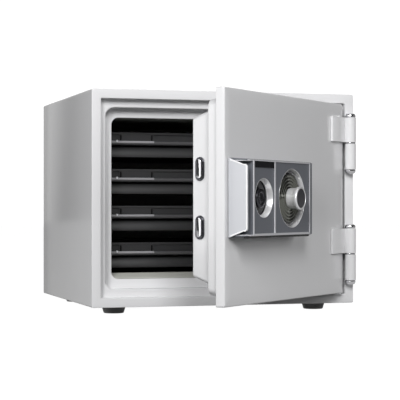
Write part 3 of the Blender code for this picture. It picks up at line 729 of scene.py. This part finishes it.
def make_door_skin():
    low, high = measure("door_skin", DOOR)
    edge = low[0]
    inner = edge + SHEET
    path = [
        (edge + 20.0, 0.0, edge + 20.0, 4.0),
        (edge, 0.0, edge, 2.6),
        (edge, high[1], edge, 2.6),
        (inner, high[1], inner, 1.6),
        (inner, SHEET, inner, 1.6),
    ]
    shape = nested(path, [0, 2.0, 0.5, 0.3, 0])
    piece("door_front_skin", shape, "door", PAINT, ["door_skin"])


def make_plug():
    """The plug's sheet: a flange on the door plate, and two tapering steps with bolt slots."""
    low, high = measure("plug_shell", DOOR)
    flange = low[0]
    front = measure("door_skin", DOOR)[1][1]

    def rib(margins, y, radius, inset=0.0):
        return (margins[0] + inset, y, margins[1] + inset, radius - min(inset, radius - 1.0))

    path = [
        (flange, front - SHEET, flange, 1.6),
        (flange, front, flange, 1.6),
        rib(PLUG_A_ROOT, front, PLUG_A_RADIUS),
        rib(PLUG_A_END, PLUG_A_END_Y, PLUG_A_RADIUS),
        rib(PLUG_B_ROOT, PLUG_A_END_Y, PLUG_B_RADIUS),
        rib(PLUG_B_END, high[1], PLUG_B_RADIUS),
        rib(PLUG_B_END, high[1], PLUG_B_RADIUS, SHEET),
        rib(PLUG_B_ROOT, PLUG_A_END_Y - SHEET, PLUG_B_RADIUS, SHEET),
        rib(PLUG_A_END, PLUG_A_END_Y - SHEET, PLUG_A_RADIUS, SHEET),
        rib(PLUG_A_ROOT, front - SHEET, PLUG_A_RADIUS, SHEET),
    ]
    radii = [0, 0.4, 1.0, 1.5, 1.0, 1.6, 0.3, 0, 0, 0]
    shape = nested(path, radii, closed=True)
    for side in ("upper", "lower"):
        slot = prism(bolt_outline(0.4), "x", 35.0, 65.0, middle_of_bolt(side))
        shape = combine(shape, slot)
    piece("door_plug_shell", shape, "door", PLUG_SHADED_PAINT, ["plug_shell"])


def make_inner_cover():
    """The door's back, dished by a little inside its border."""
    low, high = measure("door_inner_cover", DOOR)
    margin_x = low[0]
    margin_z = low[2]
    border = 12.0
    dished = high[1] - 0.7
    path = [
        (margin_x, low[1], margin_z, 4.0),
        (margin_x, high[1], margin_z, 4.0),
        (margin_x + border, high[1], margin_z + border, 4.0),
        (margin_x + border + 2.0, dished, margin_z + border + 2.0, 3.5),
        (margin_x + border + 18.0, dished, margin_z + border + 18.0, 3.0),
    ]
    shape = nested(path, [0, 0.6, 0.8, 0.8, 0])
    piece("door_back_cover", shape, "door", PLUG_SHADED_PAINT, ["door_inner_cover"])


def make_seal():
    """The seal's strip in the corner of the plug's step, a little crowned."""
    low, high = measure("door_seal", DOOR)
    band = PLUG_B_ROOT[0] - 6.0 - low[0]
    crown = 0.5
    middle_y = (low[1] + high[1]) / 2
    path = [
        (low[0], middle_y, low[2], 9.0),
        (low[0] + crown, high[1], low[2] + crown, 9.0),
        (low[0] + band - crown, high[1], low[2] + band - crown, 7.0),
        (low[0] + band, middle_y, low[2] + band, 7.0),
        (low[0] + band - crown, low[1], low[2] + band - crown, 7.0),
        (low[0] + crown, low[1], low[2] + crown, 9.0),
    ]
    shape = nested(path, 0.4, closed=True)
    piece("heat_seal_strip", shape, "door", SEAL, ["door_seal"])


# Bolts

def middle_of_bolt(side):
    centre = middle("lock_bolt_" + side, DOOR)
    return (0.0, centre[1], centre[2])


def bolt_outline(margin):
    """The bolts' long round-ended section, in (y, z) about its centre."""
    low, high = measure("lock_bolt_upper", DOOR)
    radius = (high[1] - low[1]) / 2 + margin
    straight = (high[2] - low[2]) / 2 + margin - radius
    return arc(0, straight, radius, 0, 180, 20) + arc(0, -straight, radius, 180, 360, 20)


def plug_side_x(y):
    """Where the free side of the plug's inner step stands at a depth y."""
    end_y = measure("plug_shell", DOOR)[1][1]
    along = (y - PLUG_A_END_Y) / (end_y - PLUG_A_END_Y)
    return PLUG_B_ROOT[0] + (PLUG_B_END[0] - PLUG_B_ROOT[0]) * along


def make_bolt(side):
    """A bolt whose end slants back towards the inside of the door."""
    low, high = measure("lock_bolt_" + side, DOOR)
    centre = middle_of_bolt(side)
    slope = 0.45
    slant_start = -1.5
    rings = []
    for margin, back in ((-1.2, 0.0), (-0.5, 0.25), (-0.1, 0.8), (0.0, 1.6)):
        rings.append([
            (low[0] + slope * max(0.0, y - slant_start) + back, centre[1] + y, centre[2] + z)
            for y, z in bolt_outline(margin)
        ])
    rings.append([(high[0], centre[1] + y, centre[2] + z) for y, z in bolt_outline(0.0)])
    piece("chrome_bolt_" + side, loft(rings), "bolt_work", CHROME, ["lock_bolt_" + side])
    make_bolt_surround(side, centre)


def make_bolt_surround(side, centre):
    """A raised ring round the bolt, which follows the slope of the plug's side."""
    profile = [(0.45, 0.3), (3.6, 0.3), (3.6, 1.5), (2.8, 2.4), (1.3, 2.4), (0.45, 1.6)]
    rings = []
    for margin, proud in soften(profile, [0, 0, 0.5, 0.5, 0.4, 0.3], closed=True):
        rings.append([(plug_side_x(centre[1] + y) - proud, centre[1] + y, centre[2] + z)
                      for y, z in bolt_outline(margin)])
    piece("bolt_surround_" + side, loft(rings, closed=True), "door", DARK_CHROME,
          ["bolt_bezel_" + side])


# Hinges

PIN_RADIUS = 5.0


def make_hinge(hinge):
    low, high = measure(hinge + "_body_knuckle", CABINET)
    axis = (CABINET.inverted() @ HINGE) / MM
    at = (axis[0], axis[1], 0.0)
    radius = high[0] - axis[0]
    ring_y = high[1] - axis[1]
    outline = arc(0, 0, radius, -180, 0, 40)
    outline += [(radius, ring_y), (-6.0, ring_y), (-6.6, ring_y - 1.6), (-7.4, 4.6)]
    shape = prism(outline, "z", low[2], high[2], at)
    piece(hinge + "_fixed_knuckle", shape, "cabinet", PAINT, [hinge + "_body_knuckle"], bevel=0.6)
    make_door_knuckle(hinge, at, radius, ring_y)
    make_hinge_cap_and_pin(hinge, at)
    make_hinge_washer(hinge, at)


def make_door_knuckle(hinge, at, radius, ring_y):
    """The door's knuckle and its leaf, with a groove where they meet."""
    low, high = measure(hinge + "_door_leaf", DOOR)
    thickness = 4.5
    leaf_front = ring_y - thickness
    leaf_left = low[0] - at[0]
    groove = 2.4
    start = math.degrees(math.asin((leaf_front - groove) / radius))
    outline = arc(0, 0, radius, -180 - start + 4.0, 90, 48) + [
        (-8.0, ring_y),
        (leaf_left, ring_y),
        (leaf_left, leaf_front + 0.8),
        (leaf_left + 1.4, leaf_front),
        (-radius - 0.6, leaf_front),
        (-radius + 0.2, leaf_front + groove),
    ]
    shape = prism(outline, "z", low[2], high[2], at)
    piece(hinge + "_leaf", shape, "door", PAINT, [hinge + "_door_leaf"], bevel=0.5)


def make_hinge_cap_and_pin(hinge, at):
    """The cap's dome, and the pin with the same dome upside down at its foot."""
    low, high = measure(hinge + "_cap", DOOR)
    radius = radius_of(hinge + "_cap", DOOR)
    height = high[2] - low[2]
    dome = soften([
        (radius - 1.2, 0.0),
        (radius, 0.5),
        (radius, height * 0.55),
        (radius - 1.6, height - 0.7),
        (radius - 4.0, height),
        (0.5, height),
    ], [0, 0.3, 1.4, 1.2, 1.0, 0])
    cap = turned(at, [(r, low[2] + h) for r, h in dome], axis="z", steps=64)
    piece(hinge + "_chrome_cap", cap, "door", CHROME, [hinge + "_cap"])
    low, high = measure(hinge + "_pin", CABINET)
    foot_top = low[2] + height
    profile = [(r, foot_top - h) for r, h in reversed(dome)]
    profile += [(PIN_RADIUS, foot_top), (PIN_RADIUS, high[2] - 0.8), (PIN_RADIUS - 0.8, high[2])]
    pin = turned(at, profile, axis="z", steps=64)
    piece(hinge + "_chrome_pin", pin, "cabinet", CHROME, [hinge + "_pin"])


def make_hinge_washer(hinge, at):
    low, high = measure(hinge + "_washer", CABINET)
    outer = radius_of(hinge + "_washer", CABINET)
    inner = PIN_RADIUS + 0.2
    profile = [(outer, low[2]), (outer, high[2]), (inner, high[2]), (inner, low[2])]
    washer = turned(at, profile, [0.5, 0.5, 0, 0], "z", closed=True, steps=64)
    piece(hinge + "_chrome_washer", washer, "cabinet", CHROME, [hinge + "_washer"])


# Lock unit

BORE_RADIUS = 4.6               # of the dial and its knob, for the spindle
FLAP_CORNER = 5.0
FLAP_HALF_FRONT = 51.5          # half the height of the pull's front edge


def face_loft(sections, centre_z):
    """A block standing on the door's face: (left, right, height, radius, depth) for each section."""
    rings = []
    for left, right, height, radius, depth in sections:
        outline = rounded_rectangle(right - left, height, radius, 6)
        rings.append([((left + right) / 2 + a, -depth, centre_z + b) for a, b in outline])
    return loft(rings)


def dish_pockets(shape):
    """Cut the room for both dishes out of a shape."""
    for node in ("key_bezel", "dial_bezel"):
        radius = radius_of(node, DOOR) - DISH_GAP + 0.1
        pocket = turned(on_face(node), [(radius, 5.0 - DISH_FLOOR), (radius, -60.0)])
        shape = combine(shape, pocket)
    return shape


def make_lock_body():
    """The case, which narrows towards its front, and has a channel for the pull at its free end."""
    low, high = measure("lock_housing", DOOR)
    centre_z = (low[2] + high[2]) / 2
    height = high[2] - low[2]
    depth = -low[1]
    front_height = 118.0
    front_right = high[0] - 1.2
    channel_right = 44.5
    shape = face_loft([
        (low[0], high[0], height, 2.0, 0.3),
        (low[0], high[0] - 0.7, height - 1.5, 2.0, 12.0),
        (low[0], front_right + 0.2, front_height + 1.0, 2.0, depth - 1.5),
        (low[0], front_right, front_height, 2.0, depth),
    ], centre_z)
    channel = face_loft([
        (low[0] - 10.0, channel_right, height - 6.0, 1.0, 3.0),
        (low[0] - 10.0, channel_right, front_height - 4.5, 1.0, depth + 5.0),
    ], centre_z)
    shape = dish_pockets(combine(shape, channel))
    piece("lock_case", shape, "door", LOCK_PLASTIC, ["lock_housing"], bevel=0.5)
    make_panel(centre_z)
    make_frame(centre_z)


def make_panel(centre_z):
    low, high = measure("lock_fascia", DOOR)
    height = high[2] - low[2]
    shape = dish_pockets(face_loft([
        (low[0], high[0], height, 1.0, -high[1]),
        (low[0], high[0], height, 1.0, -low[1] - 0.6),
        (low[0] + 0.3, high[0] - 0.6, height - 1.0, 1.0, -low[1]),
    ], centre_z))
    piece("lock_panel", shape, "door", LOCK_PLASTIC, ["lock_fascia"], bevel=0.25)
    left = measure("lock_frame", DOOR)[0][0] + 7.0
    top = high[2] - 1.8
    strip = block((left, low[1] - 1.0, top - 10.0), (DIVIDER[0] - 1.0, low[1] - 0.2, top))
    piece("plain_name_strip", strip, "door", STRIP, bevel=0.3)


def make_frame(centre_z):
    """The silver frame with its two windows, and the dark strip down its free side."""
    low, high = measure("lock_frame", DOOR)
    height = high[2] - low[2]
    back = -high[1]
    front = -low[1]
    shape = face_loft([
        (low[0], high[0], height, 1.0, back),
        (low[0], high[0], height, 1.0, front - 0.4),
        (low[0] + 0.4, high[0] - 0.4, height - 0.8, 1.0, front),
    ], centre_z)
    for left, right in ((low[0] + 3.6, DIVIDER[0]), (DIVIDER[1], high[0] - 2.6)):
        window = face_loft([
            (left, right, height - 5.4, 1.0, back - 1.0),
            (left, right, height - 5.4, 1.0, front + 5.0),
        ], centre_z + 0.8)
        shape = combine(shape, window)
    piece("lock_trim", shape, "door", SILVER, ["lock_frame"], bevel=0.3)
    strip_left = low[0] - 2.4
    strip_right = low[0] - 0.1
    strip = face_loft([
        (strip_left, strip_right, height, 0.8, back - 5.0),
        (strip_left, strip_right, height, 0.8, front - 1.2),
        (strip_left + 0.6, strip_right, height - 0.8, 0.6, front - 0.7),
    ], centre_z)
    piece("lock_trim_side", strip, "door", LOCK_PLASTIC, bevel=0.3)
    make_channel_trim(low, high, back, front)


def make_channel_trim(low, high, back, front):
    """The silver linings above and below the pull's channel, and the black strip under the frame."""
    channel_left = measure("lock_housing", DOOR)[0][0] + 0.5
    thickness = 2.2
    linings = []
    for bottom in (low[2] + 0.1, high[2] - 0.1 - thickness):
        outline = soften([
            (channel_left, -6.0),
            (channel_left, -front + 4.0),
            (channel_left + 5.0, -front + 0.5),
            (low[0] + 0.5, -front + 0.5),
            (low[0] + 0.5, -6.0),
        ], [0.4, 1.5, 2.0, 0, 0], closed=True)
        linings.append(prism(outline, "z", bottom, bottom + thickness))
    piece("lock_trim_linings", together(linings), "door", SILVER, bevel=0.3)
    strip = block((channel_left, -front + 1.6, low[2] - 3.4), (high[0] - 2.5, -back + 9.0, low[2] + 0.6))
    piece("lock_under_strip", strip, "door", STRIP, bevel=0.4)


def make_dish(which, floor_width):
    """A dish that narrows to its floor, which has a wide hole in the middle."""
    node = which + "_bezel"
    back = measure(node, DOOR)[1][1]
    radius = radius_of(node, DOOR)
    edge = radius - DISH_GAP
    floor_radius = radius - DISH_SLOPE
    hole_radius = floor_radius - floor_width
    panel_front = measure("lock_fascia", DOOR)[0][1]
    profile = [
        (edge, panel_front + 0.5),
        (edge - 0.3, panel_front),
        (edge - 0.8, panel_front + 0.2),
        (floor_radius, -DISH_FLOOR),
        (hole_radius, -DISH_FLOOR),
        (hole_radius, back),
        (radius - 2.0, back),
        (edge, back - 3.0),
    ]
    shape = turned(on_face(node), profile, [0, 0.1, 0.3, 0.5, 0, 0, 0, 0], closed=True, steps=128)
    piece(which + "_dish", shape, "door", SATIN, [node])


def make_key_lock():
    """The dark floor of the key's dish, the ring round the barrel, and the barrel with its keyway."""
    at = on_face("key_bezel")
    floor_y = 4.0 - DISH_FLOOR
    floor = [(28.5, floor_y - 1.5), (15.3, floor_y - 1.8), (15.3, floor_y), (28.5, floor_y)]
    piece("key_dish_floor", turned(at, floor, closed=True), "door", STRIP)
    front = measure("key_cylinder", DOOR)[0][1]
    profile = [
        (15.2, floor_y),
        (15.2, front + 1.2),
        (14.0, front),
        (8.6, front),
        (7.4, front + 1.0),
        (7.4, floor_y),
    ]
    shape = turned(at, profile, [0, 0.6, 0.5, 0.8, 0.4, 0], closed=True)
    piece("key_surround", shape, "door", DARK_CHROME, ["key_cylinder"])
    low, high = measure("key_plug", DOOR)
    shoulder = floor_y + 0.5
    profile = [(6.2, low[1]), (7.0, low[1] + 0.7), (7.0, shoulder), (5.0, shoulder), (5.0, high[1])]
    barrel = turned(at, profile, [0, 0.3, 0, 0, 0], steps=64)
    keyway = block((at[0] - 0.8, low[1] - 5.0, at[2] - 3.6), (at[0] + 0.8, low[1] + 9.0, at[2] + 3.6))
    piece("key_barrel", combine(barrel, keyway), "key", DARK_CHROME, ["key_plug"], bevel=0.15)


def make_dial():
    """The rippled plate, the black ring at its sloping edge, its lines, and the knob."""
    at = on_face("dial_bezel")
    radius = radius_of("dial_ring", DOOR) + 1.6
    back = measure("dial_ring", DOOR)[1][1]
    profile = [(radius - 0.6, back), (radius, back - 0.8), (radius - 6.0, back - 2.8)]
    ripples = 4
    ripple_height = 0.7
    ripple_start = radius - 7.0
    ripple_end = 17.5
    steps = 12 * ripples
    for i in range(steps + 1):
        share = i / steps
        height = 2.7 + share + ripple_height * math.sin(2 * math.pi * ripples * share)
        profile.append((ripple_start + (ripple_end - ripple_start) * share, back - height))
    profile += [(16.0, back - 4.0), (BORE_RADIUS, back - 4.0), (BORE_RADIUS, back)]
    shape = turned(at, profile, closed=True, steps=128)
    piece("dial_plate", shape, "dial", DIAL_FACE, ["dial_ring"])
    ring = [
        (radius - 0.4, back - 1.1),
        (radius - 6.2, back - 3.05),
        (radius - 6.2, back - 2.5),
        (radius - 0.4, back - 0.6),
    ]
    piece("dial_scale_ring", turned(at, ring, closed=True, steps=128), "dial", STRIP)
    make_dial_marks(at, radius - 1.2, back - 1.35)
    make_knob(at)


def make_dial_marks(at, outer, back):
    """One hundred plain lines down the dial's sloping edge, with every tenth one longer."""
    count = 100
    thickness = 0.2
    slope = 2.0 / 6.0
    shapes = []
    for i in range(count):
        length, half_width = (3.6, 0.32) if i % 10 == 0 else (1.9, 0.2)
        rings = []
        for inwards in (0.0, length):
            radius = outer - inwards
            y = back - slope * inwards
            outline = [(y, -half_width), (y, half_width), (y - thickness, half_width),
                       (y - thickness, -half_width)]
            rings.append([(radius, a, b) for a, b in outline])
        mark = loft(rings)
        mark.transform(Matrix.Translation(at) @ Matrix.Rotation(2 * math.pi * i / count, 4, "Y"))
        shapes.append(mark)
    piece("dial_lines", together(shapes), "dial", MARKS)


def make_knob(at):
    """A knob that flares at its front, with a dark disc let into it."""
    low, high = measure("dial_knob", DOOR)
    front = low[1]
    back = high[1]
    outer = radius_of("dial_knob", DOOR)
    barrel = 16.4
    disc = 15.6
    profile = [
        (BORE_RADIUS, back),
        (barrel, back),
        (barrel, back - 3.0),
        (barrel, back - 7.0),
        (barrel + 0.4, back - 11.5),
        (outer, front + 4.5),
        (outer, front + 1.0),
        (outer - 1.0, front),
        (disc + 0.3, front),
        (disc, front + 1.6),
        (BORE_RADIUS, front + 1.6),
    ]
    radii = [0, 0.5, 2.0, 2.5, 2.5, 2.0, 0.7, 0.7, 0.2, 0, 0]
    shape = turned(at, profile, radii, closed=True, steps=128)
    piece("chrome_knob", shape, "dial", SATIN, ["dial_knob"])
    profile = [
        (disc - 0.2, front + 1.4),
        (disc - 0.2, front + 0.7),
        (disc - 0.8, front + 0.3),
        (1.0, front + 0.2),
    ]
    piece("knob_disc", turned(at, profile, [0, 0.2, 0.3, 0]), "dial", DISC_BLACK)


def make_handle():
    """The pull: a thin flap across the end of the channel, with a knuckle on its pin."""
    low, high = measure("pull_handle", DOOR)
    back = high[1]
    front = low[1]
    left = low[0]
    thickness = 3.0
    middle_z = (low[2] + high[2]) / 2
    half_back = (high[2] - low[2]) / 2
    outline = [(back, -half_back), (back, half_back), (back - 2.0, half_back - 0.4)]
    outline += flap_corners(front, FLAP_CORNER, 110)
    outline += [(back - 2.0, 0.4 - half_back)]
    flap = prism(outline, "x", left, left + thickness, (0.0, 0.0, middle_z))
    pin = tuple(middle("handle_pin", DOOR))
    reach = pin[0] - left - thickness + 0.5
    knuckle = arc(0.0, 0.0, 3.4, 150, -150, 24) + [(-reach, -1.7), (-reach, 1.7)]
    shape = combine(flap, prism(knuckle, "z", -55.0, 55.0, pin), "UNION")
    bore = turned(pin, [(1.8, -62.0), (1.8, 62.0)], axis="z", steps=32)
    make_flap_highlight_rim(left, middle_z, back, front, half_back)
    piece("pull_flap", combine(shape, bore), "handle", FLAP_PAINT, ["pull_handle"], bevel=1.35)


def flap_corners(front, radius, sweep):
    """The two rounded front corners of the pull, in (y, z), each a sweep of degrees round its centre."""
    y = front + FLAP_CORNER
    z = FLAP_HALF_FRONT - FLAP_CORNER
    return arc(y, z, radius, 180 - sweep, 180, 14) + arc(y, -z, radius, 180, 180 + sweep, 14)


def make_flap_highlight_rim(left, middle_z, back, front, half_back):
    """A raised edge round the pull, in a near-white enamel that is a painted highlight."""
    width = 2.6
    proud = 0.5

    def side(inset, reach):
        edge = half_back - inset - 1.0
        corners = flap_corners(front, FLAP_CORNER - inset, 108)
        return [(back - reach, edge)] + corners + [(back - reach, -edge)]

    outer = prism(side(0.15, 3.0), "x", left - proud, left + proud, (0.0, 0.0, middle_z))
    inner = prism(side(width, 2.0), "x", left - 3.0, left + 3.0, (0.0, 0.0, middle_z))
    piece("pull_flap_highlight_rim", combine(outer, inner), "handle", RIM_HIGHLIGHT_PAINT, bevel=0.3)


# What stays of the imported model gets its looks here

def paint_cad_nodes():
    looks = {
        CONCRETE: ["insulation_fill", "door_fill", "plug_fill"],
        STEEL: ["bolt_keeper", "tray_rack_left", "tray_rack_right", "bolt_bar", "key_cam", "handle_pin"],
        BRASS: ["dial_spindle", "combination_wheel_1", "combination_wheel_2", "combination_wheel_3"],
    }
    for material, names in looks.items():
        for name in names:
            mesh = frame["nodes"][name].data
            mesh.materials.clear()
            mesh.materials.append(material)


# Camera, light and floor

def make_camera():
    camera = bpy.data.cameras.new("camera")
    camera.lens = 128.8
    camera.sensor_width = 36.0
    camera.shift_y = 0.0178
    camera.clip_end = 50.0
    item = add_object("camera", camera)
    item.location = CABINET @ Vector((-0.5298, -2.3835, 0.1718))
    item.rotation_euler = (math.radians(90.0), 0.0, math.radians(-16.855))
    bpy.context.scene.camera = item


def towards(azimuth, elevation):
    """The direction of a light or card. Azimuth 0 is in front, and 90 to the right."""
    a = math.radians(azimuth)
    e = math.radians(elevation)
    return Vector((math.sin(a) * math.cos(e), -math.cos(a) * math.cos(e), math.sin(e)))


def add_light(name, azimuth, elevation, distance, width, height, power, target):
    """A soft box that faces the target."""
    light = bpy.data.lights.new(name, "AREA")
    light.shape = "RECTANGLE"
    light.size = width
    light.size_y = height
    light.energy = power
    item = add_object(name, light)
    direction = towards(azimuth, elevation)
    item.location = target + direction * distance
    item.rotation_euler = direction.to_track_quat("Z", "Y").to_euler()
    return item


def make_lights():
    """Tall soft boxes in front and on the left, and a weak one on the right."""
    target = CABINET @ Vector((0.24, 0.1, 0.19))
    add_light("front_box", -10.0, 26.0, 3.2, 0.7, 1.2, 46.0, target)
    add_light("front_left_box", -33.0, 25.0, 3.2, 0.7, 1.2, 53.0, target)
    add_light("left_box", -95.0, 8.0, 2.6, 1.2, 1.4, 17.0, target)
    right = add_light("right_box", 54.0, 16.0, 3.0, 1.4, 1.4, 22.5, target)
    right.visible_glossy = False


def feed(tree, socket, value):
    """Give a socket a plain number or another node's output."""
    if isinstance(value, float):
        socket.default_value = value
    else:
        tree.links.new(value, socket)


def light_path(tree, seen, mirrored, unseen):
    """One strength where the camera looks, one in reflections, and one for the light it gives."""
    path = tree.nodes.new("ShaderNodeLightPath")
    output = unseen
    for ray, strength in (("Is Glossy Ray", mirrored), ("Is Camera Ray", seen)):
        chooser = tree.nodes.new("ShaderNodeMapRange")
        feed(tree, chooser.inputs["To Min"], output)
        feed(tree, chooser.inputs["To Max"], strength)
        tree.links.new(path.outputs[ray], chooser.inputs["Value"])
        output = chooser.outputs["Result"]
    return output


# The bright cards that only reflections show: azimuth, elevation, half width and strength
CARDS = [
    (-62.0, 12.0, 25.0, 1.0),
    (76.0, 15.0, 17.0, 0.3),
    (0.0, 78.0, 25.0, 0.7),
    (165.0, 15.0, 25.0, 0.6),
]


def card_strength(tree, direction, card):
    azimuth, elevation, half_width, strength = card
    facing = tree.nodes.new("ShaderNodeVectorMath")
    facing.operation = "DOT_PRODUCT"
    facing.inputs[1].default_value = towards(azimuth, elevation)
    tree.links.new(direction, facing.inputs[0])
    edge = tree.nodes.new("ShaderNodeMapRange")
    edge.interpolation_type = "SMOOTHSTEP"
    outer = math.cos(math.radians(half_width + 6.0))
    inner = math.cos(math.radians(half_width - 6.0))
    fill(edge, From_Min=outer, From_Max=inner, To_Max=strength)
    tree.links.new(facing.outputs["Value"], edge.inputs["Value"])
    return edge.outputs["Result"]


def make_world():
    """White behind the object, a few soft cards in its reflections, and little other light."""
    world = bpy.data.worlds.new("studio")
    bpy.context.scene.world = world
    world.use_nodes = True
    tree = world.node_tree
    background = tree.nodes["Background"]
    fill(background, Color=(1.0, 1.0, 1.0, 1.0))
    direction = tree.nodes.new("ShaderNodeTexCoord").outputs["Generated"]
    total = 0.05
    for card in CARDS:
        adder = tree.nodes.new("ShaderNodeMath")
        adder.operation = "ADD"
        feed(tree, adder.inputs[0], card_strength(tree, direction, card))
        feed(tree, adder.inputs[1], total)
        total = adder.outputs["Value"]
    strength = light_path(tree, 1.1, total, 0.02)
    tree.links.new(strength, background.inputs["Strength"])


def make_floor():
    """A white floor, which throws little light back up at the object's underside."""
    shape = bmesh.new()
    bmesh.ops.create_grid(shape, x_segments=1, y_segments=1, size=12.0)
    floor = add_object("floor", make_mesh("floor", shape))
    material = bpy.data.materials.new("white_floor")
    material.use_nodes = True
    tree = material.node_tree
    shader = tree.nodes["Principled BSDF"]
    fill(shader, Base_Color=(0.1, 0.1, 0.1, 1.0), Roughness=0.9, Specular_IOR_Level=0.0)
    fill(shader, Emission_Color=(1.0, 1.0, 1.0, 1.0))
    tree.links.new(light_path(tree, 1.0, 0.4, 0.0), shader.inputs["Emission Strength"])
    floor.data.materials.append(material)


make_camera()
make_lights()
make_world()
make_floor()
bpy.context.scene.view_settings.view_transform = "Standard"
make_shell()
make_front_frame()
make_liner()
make_sill()
make_feet()
for tray_name in ("tray_1", "tray_2", "tray_3", "tray_4"):
    make_tray(tray_name)
make_door_skin()
make_plug()
make_inner_cover()
make_seal()
for hinge_or_bolt in ("upper", "lower"):
    make_bolt(hinge_or_bolt)
    make_hinge("hinge_" + hinge_or_bolt)
make_lock_body()
make_dish("key", 1.4)
make_dish("dial", 6.4)
make_key_lock()
make_dial()
make_handle()
paint_cad_nodes()
